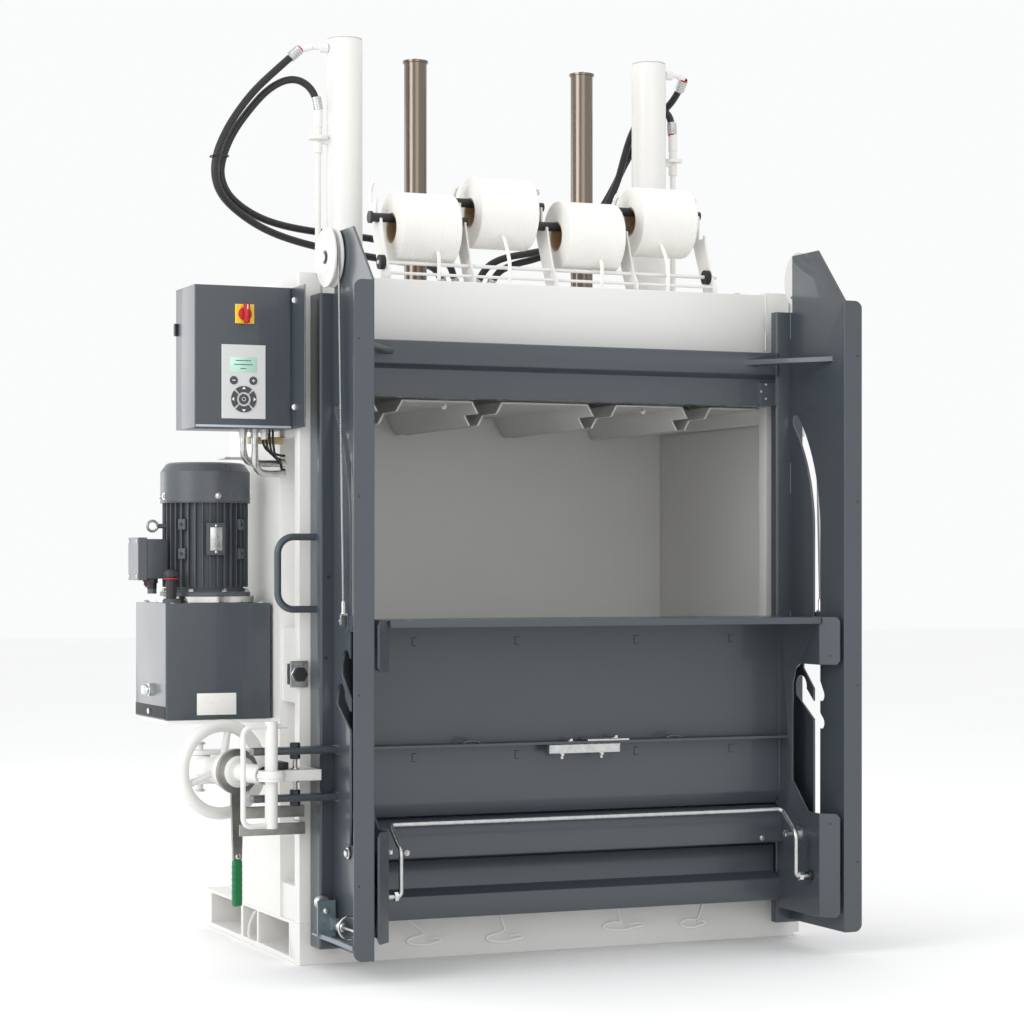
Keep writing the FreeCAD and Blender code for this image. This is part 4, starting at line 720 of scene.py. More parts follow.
class BALER_OT_hoses(Builder, bpy.types.Operator):
    """Four black hydraulic hoses and their crimped ends"""
    bl_idname = "baler.hoses"
    bl_label = "Hoses"

    def build(self, context):
        diameter = context.scene.baler_fittings.hose_diameter
        for name, (length, route) in HOSES.items():
            curve = bpy.data.curves.new(name + "_rubber", "CURVE")
            curve.dimensions = "3D"
            curve.bevel_depth = diameter / 2
            curve.bevel_resolution = 6
            curve.resolution_u = 10
            curve.use_fill_caps = True
            spline = curve.splines.new("NURBS")
            spline.points.add(len(route) - 1)
            for point, place in zip(spline.points, route):
                point.co = (*(Vector(place) * MM), 1)
            spline.order_u = 3
            spline.use_endpoint_u = True
            curve.materials.append(FINISH["hose_rubber"])
            hose = settle(new_object(curve.name, curve), "frame", (name,))
        ends = Shape("hose_ferrules")
        ferrule = [(10.4, -2), (13.2, -2), (13.8, 0)]
        for along in range(4, 32, 7):
            ferrule += [(13.8, along), (13.1, along + 1), (13.1, along + 2), (13.8, along + 3)]
        ferrule += [(13.4, 33), (10.4, 35)]
        for _, route in HOSES.values():
            for first, second in ((route[0], route[1]), (route[-1], route[-2])):
                away = Vector(second) - Vector(first)
                ends.turned(first, away, ferrule, "zinc_steel")
                ends.turned(first, away, [(10.4, -6), (11.6, -6), (11.6, -2), (10.4, -2)], "switch_red")
        ends.done("frame")
        tie = Shape("hose_tie")
        tie.wire([(-834, -24, 2098), (-790, -24, 2100), (-782, 8, 2101), (-794, 30, 2101), (-814, 26, 2099),
                  (-838, 0, 2097), (-834, -24, 2098)], 2, "black_plastic", sides=8, smooth=2)
        tie.done("frame")


# Outer radius of the folds of the parts whose folds aren't 4 mm.
FOLD_RADIUS = {"guide_left": 11, "guide_right": 11, "door_left_post": 8, "door_right_post": 8, "oil_tank": 7,
               "crosshead": 6, "door_top_beam": 6, "cabinet_cover": 3}


# A level above the two bare bars of the lock's bracket, and a depth between the door sensor's plate and knob: metres.
REST_TOP = 0.415
KNOB_BACK = -0.4068


class BALER_OT_plates(Builder, bpy.types.Operator):
    """Sheet and plate parts of the frame, door, flap, cabinet and tank with broken edges"""
    bl_idname = "baler.plates"
    bl_label = "Plates and sheets"

    def build(self, context):
        width = context.scene.baler_fittings.edge_width
        made = {}
        for node in ("base_frame", "side_frame_left", "side_frame_right", "rear_wall", "crosshead", "platen",
                     "door_left_post", "door_right_post", "door_top_beam", "door_lower_wall", "guide_left",
                     "guide_right", "flap_shell", "flap_beam", "rope_links", "foot_bracket", "clamp_bar",
                     "cabinet_box", "cabinet_cover", "key_panel", "switch_plate", "oil_tank", "terminal_box",
                     "lock_bracket", "door_sensor", "strap_rack", "counterweight_left", "counterweight_right"):
            made[node] = soften(node, NODE_SLOT[node], width, FOLD_RADIUS.get(node, 4) * MM)
        repaint(made["lock_bracket"], "lever_steel", lambda centre: centre.z < REST_TOP)
        repaint(made["door_sensor"], "black_plastic", lambda centre: centre.y < KNOB_BACK)
        repaint(made["foot_bracket"], "bracket_grey", lambda centre: True)


class BALER_OT_finishes(Builder, bpy.types.Operator):
    """Finishes of the kept CAD parts"""
    bl_idname = "baler.finishes"
    bl_label = "Finishes"

    def build(self, context):
        for node, slot in NODE_SLOT.items():
            dress(node, slot)


class BALER_OT_press(Builder, bpy.types.Operator):
    """Cylinder heads, gland rings, column collars and pads above the crosshead"""
    bl_idname = "baler.press"
    bl_label = "Press"

    def build(self, context):
        deck = box_of("crosshead")[1].z
        cylinder_top = box_of("press_cylinders")[1].z
        top = Shape("cylinder_heads")
        collars = Shape("column_collars")
        for _, hand in SIDES:
            top.head((hand * 457, 0, deck), UP, 66, 8, 62, 11, "frame_white", 48, bore=49)
            top.turned((hand * 457, 0, cylinder_top), UP,
                       [(0, 0), (47, 0), (47, 1.2), (44, 2.4), (9, 2.4), (9, 0.8), (0, 0.8)], "frame_white", 48)
            collars.head((hand * 250, middle_of("guide_columns").y, deck), UP, 43, 9, 40, 12, "dark_steel", 40,
                         bore=31.6)
        top.done("frame")
        collars.done("frame")
        feet = Shape("crosshead_pads")
        for place in (-330, -96, 96, 330):
            feet.box((place - 24, place + 24), (-66, -30), (deck, deck + 7), "card_brown", 1.5)
            feet.box((place - 14, place + 14), (-60, -36), (deck + 7, deck + 22), "black_plastic", 3)
        feet.done("frame")


# The rope's centre over a pulley, in steps of its half turn, and the slope of the run down to the flap's arm.
ROPE_REACH = 66.3
ROPE_LEAN = (102 - ROPE_REACH) / 894
ARC_STEPS = 40


class BALER_OT_pulleys(Builder, bpy.types.Operator):
    """Rope pulleys with their bushes, and the rope over each groove"""
    bl_idname = "baler.pulleys"
    bl_label = "Pulleys"

    def build(self, context):
        for side, hand in SIDES:
            out = (hand, 0, 0)
            x, y, z = middle_of(f"pulley_{side}")
            inner = (x - hand * 12, y, z)
            wheel = Shape(f"pulley_{side}_face")
            wheel.turned(inner, out, [
                (12, -0.2), (74, -0.2), (75.2, 1), (75.2, 5), (63.15, 8.4), (63.15, 15.6), (75.2, 19), (75.2, 23),
                (74, 24.2), (70, 24.2), (69, 22.8), (40, 22.8), (39, 24.2), (12, 24.2)], "frame_white", 72)
            wheel.turned(inner, out, [(8.3, -0.4), (12, -0.4), (12, 24.4), (17, 24.4), (17, 25.8), (8.3, 25.8)],
                         "black_plastic", 32)
            wheel.turned(inner, out, [(70.4, 24), (73.6, 24), (73.6, 24.8), (70.4, 24.8)], "bright_steel", 72)
            wheel.done(f"pulley_{side}", (f"pulley_{side}",))
            rope = Shape(f"rope_over_pulley_{side}")
            arc = [(x, y + ROPE_REACH * math.cos(angle), z + ROPE_REACH * math.sin(angle))
                   for angle in (math.pi * step / ARC_STEPS for step in range(ARC_STEPS + 1))]
            below = z - 8
            rope.wire([(x, y + ROPE_REACH, below), *arc, (x, y - ROPE_REACH - 8 * ROPE_LEAN, below)], 3, "wire_rope")
            rope.done("door")
            axle = Shape(f"pulley_axle_{side}")
            axle.turned((x - hand * 16, y, z), out,
                        [(0, 0), (7.9, 0), (7.9, 31.5), (10, 31.5), (10, 33), (6, 34), (0, 34)], "zinc_steel")
            axle.done("door")


# Undersides and height of the two lugs that the lock's cross bar bears on.
LUG_LEVELS = (426, 543)
LUG_SIZE = 18


class BALER_OT_door(Builder, bpy.types.Operator):
    """Bolts, rivets, welds, lug adjusters and painted hole shade of the door"""
    bl_idname = "baler.door"
    bl_label = "Door"

    def build(self, context):
        pitch = context.scene.baler_fittings.bead_pitch / MM
        runs = []
        for low, high in ((1628, 1695), (1210, 1288), (813, 889), (556, 616), (300, 360)):
            for hand in (-1, 1):
                runs.append(((hand * 651, -479, low), (hand * 651, -479, high), (-hand, -1, 0)))
        for low in LUG_LEVELS:
            for level in (low, low + LUG_SIZE):
                runs.append(((-656.5, -516, level), (-656.5, -480, level), LEFT))
        runs += [((hand * 595, -499, 1448), (hand * 595, -499, 1580), (hand, -1, 0)) for hand in (-1, 1)]
        # painted highlight: the door's weld ripples get a lighter finish than the paint, for the light they catch
        repeated("door_welds", "bead", "door", "door_grey", "weld_painted_highlight", weld_places(runs, pitch), bead_radius=2.8)
        rivets = [((hand * x, -480, z), FRONT) for hand in (-1, 1) for x, z in ((574, 1500), (574, 1462), (560, 1481))]
        bolts("door_rivets", "door", "zinc_steel", rivets, 3.4, 2.2, 1.0, 16, 0.55)
        lugs = Shape("lug_adjusters")

        def spot(z):
            return (-763, -498, z)

        for toward, back, face, tip in ((1, LUG_LEVELS[0], LUG_LEVELS[0] + LUG_SIZE, 477.5),
                                        (-1, LUG_LEVELS[1] + LUG_SIZE, LUG_LEVELS[1], 505.5)):
            lugs.bar(spot(face), spot(tip - toward * 4), 6, "bright_steel", 20)
            for turn in range(round(abs(tip - face) / 2.4) - 2):
                lugs.ring(spot(face + toward * (2 + 2.4 * turn)), UP, 6, 0.7, "bright_steel", 20, 6)
            lugs.bar(spot(tip - toward * 4.2), spot(tip - toward * 0.2), 11, "bright_steel", 32)
            for start, heading in ((face, toward), (back, -toward)):
                lugs.head(spot(start), (0, 0, heading), 13, 9.5, 10.8, 11.6, "dark_steel", 6)
        for side, hand in SIDES:
            x, y, z = middle_of(f"pulley_{side}")
            lugs.bar((x - hand * 16, y, z), (x + hand * 16, y, z), 7.8, "zinc_steel")
        lugs.done("door", ("door_bolts",))
        small = Shape("door_painted_hole_shade")
        # painted shade: thin dark discs stand for the shade inside holes in the door
        for place in ((-668, -478.6, 984), (-675, -478.6, 781)):
            small.disc(place, BACK, 4.6, 1.4, "painted_hole_shade", 20)
        for _, hand in SIDES:
            for along, level in ((-516, 1726), (-474, 1738), (-530, 1836)):
                small.disc((hand * 656.4, along, level), (-hand, 0, 0), 3.2, 1, "painted_hole_shade", 16)
            for level in (240, 700, 1180, 1560):
                small.disc((hand * 690, -767.4, level), BACK, 2.6, 1, "painted_hole_shade", 16)
        small.done("door")
        bolts("door_stop_bolts", "door", "zinc_steel", [((664, -478, 289), FRONT)], 7, 6, 1.6)


# Depth and height of the axes of the flap's guide rollers and of its release bar.
ROLLER_AXIS = (-621.5, 305)
RELEASE_AXIS = (-686, 200)


class BALER_OT_flap(Builder, bpy.types.Operator):
    """Slots, loops, bolts and rope ends of the flap"""
    bl_idname = "baler.flap"
    bl_label = "Flap"

    def build(self, context):
        tabs = Shape("flap_slots")
        skin = (-512.8, -511.6)
        for x in (-451, -168, 171, 451):
            for level in (820, 527):
                # painted shade: dark boxes stand for the shade inside the strap slots
                tabs.box((x - 6.5, x - 4.5), skin, (level - 11, level + 11), "painted_hole_shade", 0.2)
                tabs.box((x - 5, x + 6.5), skin, (level + 9.4, level + 11), "painted_hole_shade", 0.2)
                tabs.box((x - 5, x + 6.5), skin, (level - 11, level - 9.4), "painted_hole_shade", 0.2)
        for x in (-311, 263):
            tabs.wire([(x - 22, -553, 559), (x - 20, -555, 566), (x - 8, -556, 569), (x + 8, -556, 569),
                       (x + 20, -555, 566), (x + 22, -553, 559)], 3, "door_grey", smooth=2)
        for _, hand in SIDES:
            for level in (340, 778):
                # painted shade: dark discs stand for the shade inside holes
                tabs.disc((hand * 619, -747.4, level), (hand * 0.707, 0.707, 0), 2.6, 0.8, "painted_hole_shade", 16)
        tabs.done("flap")
        bolts("flap_beam_bolts", "flap", "zinc_steel",
              [((-476, -526.6, 288), FRONT), ((537, -526.6, 286), FRONT)], 5.5, 5)
        bolts("clamp_bolts", "flap", "bright_steel",
              [((-62, -557, 530), DOWN), ((50, -557, 530), DOWN), ((-30, -540, 560), UP), ((96, -545, 566), UP)], 7, 6)
        ends = Shape("rope_terminals")
        pivots = Shape("release_pivots")
        for _, hand in SIDES:
            x = hand * 672
            out, inward = (hand, 0, 0), (-hand, 0, 0)
            ends.turned((x, -600.6, 925), (0, -0.04, -1),
                        [(0, 0), (3.4, 0), (5, 3), (5, 26), (6.4, 30), (6.4, 36), (0, 36)], "bright_steel", 24)
            for across in (-8.6, 6.2):
                ends.box((x + across, x + across + 2.4), (-608, -595), (866, 893), "bright_steel", 0.8)
            ends.box((x - 8.6, x + 8.6), (-608, -595), (890, 894), "bright_steel", 0.8)
            ends.bar((x - hand * 12, -601.5, 876), (x + hand * 12, -601.5, 876), 4, "zinc_steel", 20)
            ends.turned((hand * 664, *ROLLER_AXIS), out, [(0, 0), (17, 0), (17, 2.5), (12, 2.5), (12, 3), (0, 3)],
                        "black_plastic", 40)
            pivots.turned((hand * 604, *RELEASE_AXIS), out, [(0, -10), (6, -10), (6, 3), (0, 3)], "zinc_steel", 20)
            pivots.head((hand * 604.2, *RELEASE_AXIS), out, 11, 5.4, 9, 7, "zinc_steel", 6)
            pivots.head((hand * 597.8, *RELEASE_AXIS), inward, 13, 9, 11, 10.5, "black_plastic", 24, bore=7)
            pivots.head((hand * 570, *RELEASE_AXIS), inward, 12, 9, 10, 11, "bright_steel", 6, bore=7)
            pivots.turned((hand * 597.8, *ROLLER_AXIS), inward,
                          [(0, 0), (20, 0), (20, 3), (11, 3), (11, 13), (9, 15), (6, 15), (6, 46), (0, 46)],
                          "zinc_steel", 24)
            pivots.head((hand * 560, *ROLLER_AXIS), inward, 10, 7, 8, 8.5, "bright_steel", 6, bore=6)
        ends.done("flap")
        pivots.done("flap")
        bolts("axle_bolts", "flap", "bright_steel",
              [((hand * 667, *ROLLER_AXIS), (hand, 0, 0)) for _, hand in SIDES], 10, 7, 1.4)


# Middle of the lock's cross bar, and the spindle's turn from straight back at rest.
LOCK_EYE = Vector((-837, -536, 494))
LOCK_TURN = math.radians(11.6)
THREAD_PITCH = 3


class BALER_OT_lock(Builder, bpy.types.Operator):
    """Fittings of the screw lock"""
    bl_idname = "baler.lock"
    bl_label = "Lock"

    def build(self, context):
        turn = Matrix.Rotation(LOCK_TURN, 4, "Z")

        def spot(x, y, z):
            return LOCK_EYE + turn @ Vector((x, y, z))

        axis = turn @ Vector(BACK)
        thread = Shape("lock_threads")
        for start, turns in ((36, 38), (232, 16)):
            for step in range(turns):
                thread.ring(spot(0, start + step * THREAD_PITCH, 0), axis, 11, 0.9, "bright_steel", 28, 6)
        thread.disc(spot(0, 34, 0), axis, 20, 4, "black_plastic", 32, bore=12)
        thread.done("lock_spindle")
        ends = Shape("tbar_ends")
        for level, way in ((-128, DOWN), (133, UP)):
            ends.head(LOCK_EYE + Vector((0, 0, level)), way, 15.4, 0.6, 14, 2, "frame_white", 32)
        ends.done("lock_spindle")
        block = Shape("stop_block")
        block.box((-814, -780), (-500, -436), (506, 524), "black_plastic", 2)
        block.done("frame")
        caps = Shape("pivot_caps")
        for level, way in ((58.2, UP), (-58.2, DOWN)):
            caps.head(spot(0, 372, level), way, 14, 3, 10, 6, "zinc_steel", 32)
        caps.done("frame")
        rivet = Shape("lever_details")
        rivet.head(spot(0, 171, -214), -axis, 7, 2, 4, 4, "bright_steel", 24)
        for level in range(6):
            at = -240 - level * 16
            loop = [(-13.4, 168), (-13.4, 182), (13.4, 182), (13.4, 168), (-13.4, 168)]
            rivet.wire([spot(across, along, at) for across, along in loop], 1.2, "grip_green", sides=6, smooth=1)
        rivet.done("clamp_lever")
        bead = Shape("tbar_eye_ring")
        bead.ring(LOCK_EYE, UP, 25, 11, "frame_white", 48, 16)
        bead.done("lock_spindle")
        hub = Shape("handwheel_hub_rings")
        hub.turned(spot(0, 226, 0), axis, [(34, -2), (46.4, -2), (47.2, 0), (46.4, 2), (34, 2)], "frame_white", 48)
        hub.turned(spot(0, 40, 0), axis, [(12, -1), (24.6, -1), (24.6, 6), (12, 6)], "frame_white", 40)
        hub.done("handwheel")


class BALER_OT_power(Builder, bpy.types.Operator):
    """Screws, bosses, plates and glands of the motor and tank"""
    bl_idname = "baler.power"
    bl_label = "Power unit"

    def build(self, context):
        motor_x, motor_y, _ = middle_of("motor_cowl")
        tank_left, tank_front, _ = box_of("oil_tank")[0]
        lid = box_of("oil_tank")[1].z

        def away(degrees):
            return Vector((math.cos(math.radians(degrees)), math.sin(math.radians(degrees)), 0))

        def around(radius, degrees, z):
            return Vector((motor_x, motor_y, z)) + away(degrees) * radius

        def up(z):
            return (motor_x, motor_y, z)

        bolts("cowl_screws", "frame", "bright_steel",
              [(around(116.6, angle, 1194), away(angle)) for angle in (-90, -172, -8, 90, 172, 8)],
              6, 4.5, 1.5, 20, 0.6)
        bolts("motor_flange_bolts", "frame", "zinc_steel",
              [(around(112, angle, lid + 29), UP) for angle in range(-170, 190, 45)], 7, 7, 1.2)
        bolts("tank_shelf_bolts", "frame", "zinc_steel",
              [((x, y, lid), UP) for x in (-984, -746) for y in (-166, 84)], 7, 5, 1.4)
        parts = Shape("motor_fittings")
        parts.turned(up(lid), UP, [(100, 0), (126, 0), (127, 1.5), (127, 16.5), (125, 18), (100, 18)],
                     "bright_steel", 72)
        parts.head(up(lid + 18), UP, 118, 9, 114, 12, "motor_grey", 72, bore=100)
        parts.turned(up(1176), UP, [(110, 0), (117.6, 0.6), (117.6, 3.4), (110, 4)], "motor_grey", 72)
        for degrees in (-138, -52):
            lug = Matrix.Rotation(math.radians(degrees + 90), 4, "Z")
            for level in (1120, 1044):
                start = around(101, degrees, level)
                parts.box((start.x - 11, start.x + 11), (start.y - 16, start.y + 16), (level - 14, level + 14),
                          "motor_alloy", 2, lug)
                # painted shade: a dark disc stands for the shade inside the lug's hole
                parts.disc(around(117, degrees, level), away(degrees), 5, 0.8, "painted_hole_shade", 16)
        parts.box((-893, -843), (-168, -158), (1040, 1124), "motor_alloy", 2)
        parts.box((-884, -852), (-169.4, -167), (1052, 1112), "zinc_steel", 0.6)
        for level in (1048, 1116):
            parts.turned((-868, -168, level), FRONT, [(0, 0), (3.4, 0), (3.4, 1.6), (0, 2.4)], "bright_steel", 14)
        for z in (1262, 1270):
            parts.disc(up(z), UP, 100.1, 0.2, "motor_grey", 48, bore=100)
        parts.ring((-1008, -60, 1116), BACK, 13.5, 3.6, "bright_steel", 40, 10)
        parts.done("frame")
        cap = Shape("filler_top")
        filler_x, filler_y, _ = middle_of("filler_cap")
        cap.turned((filler_x, filler_y, lid + 68), UP, [(0, 0), (21, 0), (21, 12), (18, 18), (0, 20)],
                   "black_plastic", 24)
        cap.disc((filler_x, filler_y, lid + 62), UP, 19.6, 3, "switch_red", 32, bore=14)
        cap.head((filler_x, filler_y, lid), UP, 24, 7, 18, 12, "motor_grey", 32, bore=14)
        cap.done("frame")
        box = Shape("terminal_fittings")
        for y in (-78, -4):
            for z in (985, 1076):
                box.head((box_of("terminal_box")[0].x, y, z), LEFT, 4.4, 1.4, 2.6, 2.4, "bright_steel", 16)
        box.turned((-1012, -70, 979), DOWN, [(0, 0), (16, 0), (16, 12), (13, 12), (13, 26), (10, 34), (0, 36)],
                   "black_plastic", 8)
        box.turned((-1012, -30, 979), DOWN, [(0, 0), (14, 0), (14, 8), (11, 8), (11, 18), (0, 18)],
                   "black_plastic", 8)
        box.disc((-1012, -30, 961), DOWN, 8, 5, "switch_red", 24)
        box.done("frame")
        tank = Shape("tank_fittings")
        tank.turned((tank_left, -56, 690), LEFT,
                    [(0, 0), (17, 0), (17, 10), (13, 12), (13, 22), (11, 26), (0, 26)], "sight_glass", 24)
        # painted shade: a dark band on the tank's left side
        tank.box((tank_left - 1, tank_left + 0.4), (-186, 104), (619, 650), "painted_hole_shade", 0.3)
        tank.head((tank_left - 0.6, -40, 634), LEFT, 9, 5, 7, 7, "zinc_steel", 6)
        tank.box((-926, -821), (tank_front - 1.6, tank_front + 0.2), (628, 684), "plate_white", 0.5)
        tank.done("frame")


class BALER_OT_cabinet(Builder, bpy.types.Operator):
    """Latch, key panel, switch and cables of the control cabinet"""
    bl_idname = "baler.cabinet"
    bl_label = "Cabinet"

    def build(self, context):
        keys = Shape("key_panel_face")
        face = box_of("key_panel")[0].y
        on_key = (face - 2.5, face - 1.9)
        keys.box((-899, -829), (face - 0.8, face), (1499, 1537), "display_green", 0.4)
        for level, reach in ((1528, 20), (1518, 24), (1508, 8)):
            keys.box((-864 - reach, -864 + reach), (face - 1, face - 0.7), (level - 1, level + 1), "key_dark", 0)
        for x in (-889, -838):
            keys.head((x, face, 1478), FRONT, 10.5, 1.4, 9.5, 2, "key_dark")
            keys.box((x - 4, x + 4), on_key, (1477, 1479), "key_mark", 0)
        keys.box((-839, -837), on_key, (1474, 1482), "key_mark", 0)
        middle = Vector((-863, 1431))

        def turned_by(degrees, *corners):
            return [middle + Matrix.Rotation(math.radians(degrees), 2) @ Vector(corner) for corner in corners]

        for quarter in (0, 90, 180, 270):
            sweep = range(quarter + 50, quarter + 131, 8)
            outline = [turned_by(degrees, (33, 0))[0] for degrees in sweep]
            outline += [turned_by(degrees, (18, 0))[0] for degrees in reversed(sweep)]
            keys.plate(outline, "xz", face - 2, face, "key_dark")
            arrow = turned_by(quarter, (31.5, 0), (25.5, 5), (25.5, -5))
            keys.plate(arrow, "xz", face - 2.6, face - 1.9, "key_mark")
        keys.head((middle.x, face, middle.y), FRONT, 13, 1.4, 12, 2, "key_dark")
        keys.ring((middle.x, face - 2, middle.y), BACK, 4.6, 0.6, "key_mark", 24, 6)
        keys.done("frame")
        switch = Shape("switch_knob")
        x, _, z = middle_of("switch_plate")
        front = box_of("switch_plate")[0].y
        switch.turned((x, front - 0.3, z), FRONT, [(0, 0), (17.5, 0), (17.5, 2), (15, 3.4), (14.6, 8), (0, 8)],
                      "switch_red", 40)
        switch.box((x - 7, x + 7), (front - 24, front - 7), (z - 24.5, z + 24.5), "switch_red", 3.2)
        switch.box((x - 1, x + 1), (front - 25, front - 23.4), (z + 9.5, z + 21.5), "key_mark", 0.3)
        switch.done("main_switch", ("main_switch",))
        trim = Shape("cabinet_trim")
        trim.box((-996, -988.8), (-232, -217), (1598, 1630), "black_plastic", 2)
        # painted highlight: a thin light strip along the cabinet's edge
        trim.box((-987, -737), (-391, -387.6), (1360, 1366), "painted_edge_highlight", 1)
        for across in (-21, 21):
            for level in (-20.5, 20.5):
                trim.disc((x + across, front, z + level), FRONT, 2.2, 0.8, "zinc_steel", 12)
        for level in (1413, 1683):
            trim.turned((-735, -410, level), FRONT, [(0, 0), (7.5, 0), (7.5, 2), (5, 4.4), (0, 5)], "plate_white", 20)
        floor = box_of("cabinet_box")[0].z
        glands = ((-846, -330), (-815, -330), (-786, -320))
        for x, y in glands:
            trim.turned((x, y, floor), DOWN, [(0, 0), (13, 0), (13, 7), (10.5, 7), (10.5, 18), (8, 24), (0, 24)],
                        "zinc_steel", 8)
        trim.box((-806, -716), (-262, -236), (1326, 1344), "tie_sand", 2)
        trim.done("frame")
        for index, (x, y) in enumerate(glands[:2]):
            pipe = Shape(f"cabinet_conduit_{index + 1}")
            low = 1290 - 26 * index
            line = pipe.wire([(x, y, floor - 18), (x, y, floor - 42), (x + 2, y + 4, low + 14),
                              (x + 14, y + 24, low - 8), (x + 46, y + 56, low - 16), (-722, -262, low - 14),
                              (-712, -260, low - 14)], 9, "zinc_steel", sides=14, smooth=3)
            pipe.done("frame")
        for index in range(4):
            cable = Shape(f"cabinet_cable_{index + 1}")
            start = -788 + 9 * index
            line = cable.wire([(start, -312, floor), (start, -312, floor - 28), (start + 12, -296, 1312 - 8 * index),
                               (start + 34, -276, 1302 - 8 * index), (-722, -262, 1296 - 12 * index),
                               (-712, -260, 1296 - 12 * index)], 3.2, "hose_rubber", sides=10, smooth=3)
            cable.done("frame")


# A roll of tape: half its width, its card core, the layers seen on its sides and the bands on its rim.
ROLL_HALF = 81.5
CORE_RADIUS = 40
LAYERS = 26
LAYER_PITCH = 2.05
BANDS = 12


class BALER_OT_rack(Builder, bpy.types.Operator):
    """Strap rolls wound in layers, their card cores and hanging tape ends"""
    bl_idname = "baler.rack"
    bl_label = "Strap rack"

    def build(self, context):
        side = [(CORE_RADIUS, 0)]
        for layer in range(LAYERS):
            radius = CORE_RADIUS + layer * LAYER_PITCH
            lift = 0.0 if layer % 2 else 0.9
            side += [(radius + 0.3, lift), (radius + 1.7, lift + 0.35)]
        profile = side + [(93.0, 2.0)]
        width = (2 * ROLL_HALF - 4) / BANDS
        for band in range(BANDS):
            start = 2 + band * width
            profile += [(93.9, start + 1), (93.9, start + width - 1), (93.2, start + width)]
        profile += [(radius, 2 * ROLL_HALF - along) for radius, along in reversed(side)]
        for number, shift in enumerate((22, -14, 18, -20), start=1):
            node = f"strap_roll_{number}"
            _, y, z = middle_of(node)
            x = box_of(node)[1].x - ROLL_HALF
            roll = Shape(f"{node}_wound")
            roll.turned((x - ROLL_HALF, y, z), RIGHT, profile, "woven_tape", 72)
            roll.turned((x - ROLL_HALF, y, z), RIGHT, [(34, 1.2), (39.8, 1.2), (39.8, 161.8), (34, 161.8)],
                        "card_brown", 48)
            roll.done(node, (node,))
            tape = Shape(f"strap_tape_{number}")
            run = x + shift
            drop = (y - 70, z - 64)
            line = tape.wire([(run, *drop), (run, 0.4 * drop[0] - 226, 0.55 * drop[1] + 815), (run, -378, 1808),
                              (run, -378, 1784), (run + 1, -374, 1755)], 5.5, "woven_tape", sides=8, smooth=3,
                             flat=0.12)
            tape.done("frame")


# Strap tails on the front of the base: the upper end, the crossing point, and the loop's ends and height.
TAILS = ((-428, 104, -379, 65, -431, -331, 47), (-169, 101, -155, 61, -211, -104, 43),
         (168, 102, 180, 59, 124, 245, 56), (425, 106, 407, 58, 352, 431, 51))


class BALER_OT_tails(Builder, bpy.types.Operator):
    """Tie strap ends that hang in front of the base"""
    bl_idname = "baler.tails"
    bl_label = "Strap tails"

    def build(self, context):
        half = context.scene.baler_fittings.tape_width / MM / 4
        for number, (x, z, cross_x, cross_z, left, right, level) in enumerate(TAILS, start=1):
            tail = Shape(f"strap_tail_{number}")
            middle = (left + right) / 2
            line = tail.wire([(x, -403.6, z), ((x + cross_x) / 2, -404.6, (z + cross_z) / 2), (cross_x, -405, cross_z),
                              (middle - 16, -405, level + 12), (left + 8, -405, level + 7), (left, -405.6, level - 1),
                              (left + 16, -406.2, level - 9), (middle, -407, level - 12), (right - 26, -408, level - 8),
                              (right, -409, level - 2), (right - 12, -410, level + 6), (middle + 12, -411, level + 3)],
                             half, "strap_white", sides=8, smooth=3, flat=0.5)
            tail.done("frame")
        bow = Shape("base_cell_strap")
        line = bow.wire([(-722, -40, 96), (-726, -24, 78), (-728, -8, 56), (-726, 6, 34), (-722, 14, 20)], 4,
                        "strap_white", sides=8, smooth=2, flat=0.35)
        bow.done("frame")


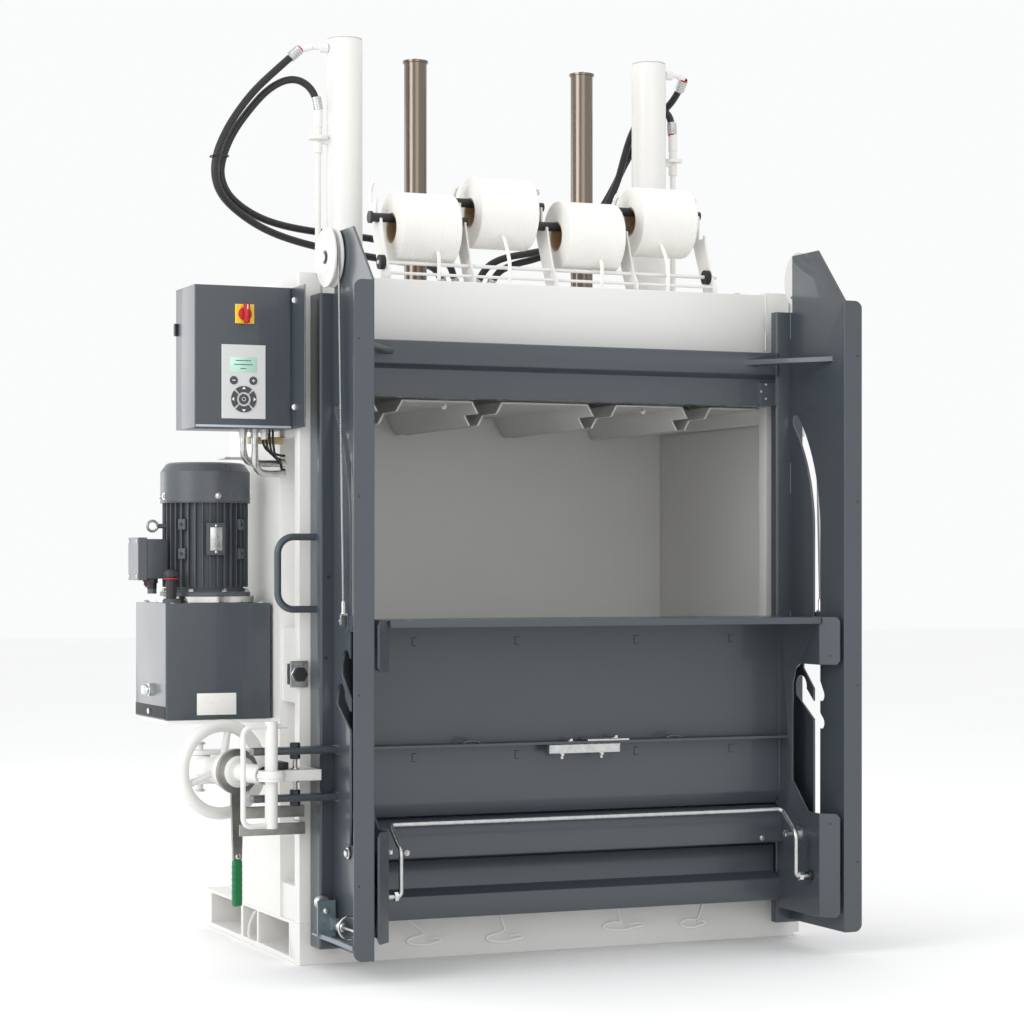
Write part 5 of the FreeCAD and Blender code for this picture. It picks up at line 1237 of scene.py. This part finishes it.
class BALER_OT_details(Builder, bpy.types.Operator):
    """Welds and bolts of the frame and the ring plunger's spring housing"""
    bl_idname = "baler.details"
    bl_label = "Frame details"

    def build(self, context):
        pitch = context.scene.baler_fittings.bead_pitch / MM
        runs = []
        for _, hand in SIDES:
            for low in (1600, 1700):
                runs.append(((hand * 616, -400.6, low), (hand * 616, -400.6, low + 45), (-hand, -1, 0)))
            runs.append(((hand * 700, -400.6, 107), (hand * 640, -400.6, 107), (0, -1, 0.4)))
        repeated("frame_welds", "bead", "frame", "frame_white", "frame_white", weld_places(runs, pitch),
                 bead_radius=2.4)
        foot = Shape("plunger_housing")
        foot.turned((-667, -560, 118), FRONT,
                    [(4.6, 0), (11, 0), (14, 3), (14, 14), (11, 18), (11, 30), (8, 33), (4.6, 33)], "zinc_steel", 28)
        foot.disc((-667, -600, 118), FRONT, 9, 4, "bright_steel", 24, bore=4.6)
        foot.turned((-690, -522, 152), FRONT, [(0, 0), (9, 0), (9, 1.4), (7, 5), (3, 6.4), (0, 6.6)],
                    "bright_steel", 24)
        foot.done("door")
        bolts("header_bolts", "frame", "zinc_steel",
              [((x, y, box_of("crosshead")[1].z), UP) for x in (-560, -690, 560, 690) for y in (-340, 340)],
              9, 7, 1.5)
        bolts("platen_bolts", "press_ram", "zinc_steel", [((x, -309.4, 1431), FRONT) for x in (-290, 290)], 6, 5)


PIECES = (BALER_OT_stage, BALER_OT_hoses, BALER_OT_finishes, BALER_OT_plates, BALER_OT_press, BALER_OT_pulleys,
          BALER_OT_door, BALER_OT_flap, BALER_OT_lock, BALER_OT_power, BALER_OT_cabinet, BALER_OT_rack,
          BALER_OT_tails, BALER_OT_details)


class BALER_PT_panel(bpy.types.Panel):
    """Lists the pieces of the baler"""
    bl_idname = "BALER_PT_panel"
    bl_label = "Recycling baler"
    bl_space_type = "VIEW_3D"
    bl_region_type = "UI"
    bl_category = "Baler"

    def draw(self, context):
        for group in (context.scene.baler_paint, context.scene.baler_fittings, context.scene.baler_studio):
            box = self.layout.box()
            for label in group.__annotations__:
                box.prop(group, label)
        for piece in PIECES:
            self.layout.operator(piece.bl_idname)


GROUPS = {"baler_paint": BalerPaint, "baler_fittings": BalerFittings, "baler_studio": BalerStudio}


def register():
    for kind in (*GROUPS.values(), *PIECES, BALER_PT_panel):
        bpy.utils.register_class(kind)
    for label, kind in GROUPS.items():
        setattr(bpy.types.Scene, label, bpy.props.PointerProperty(type=kind))


def unregister():
    for label in GROUPS:
        delattr(bpy.types.Scene, label)
    for kind in reversed((*GROUPS.values(), *PIECES, BALER_PT_panel)):
        bpy.utils.unregister_class(kind)


def main():
    register()
    make_finishes(bpy.context.scene.baler_paint)
    make_trees(bpy.context.scene.baler_fittings)
    for piece in PIECES:
        module, action = piece.bl_idname.split(".")
        getattr(getattr(bpy.ops, module), action)()


if __name__ == "__main__":
    main()
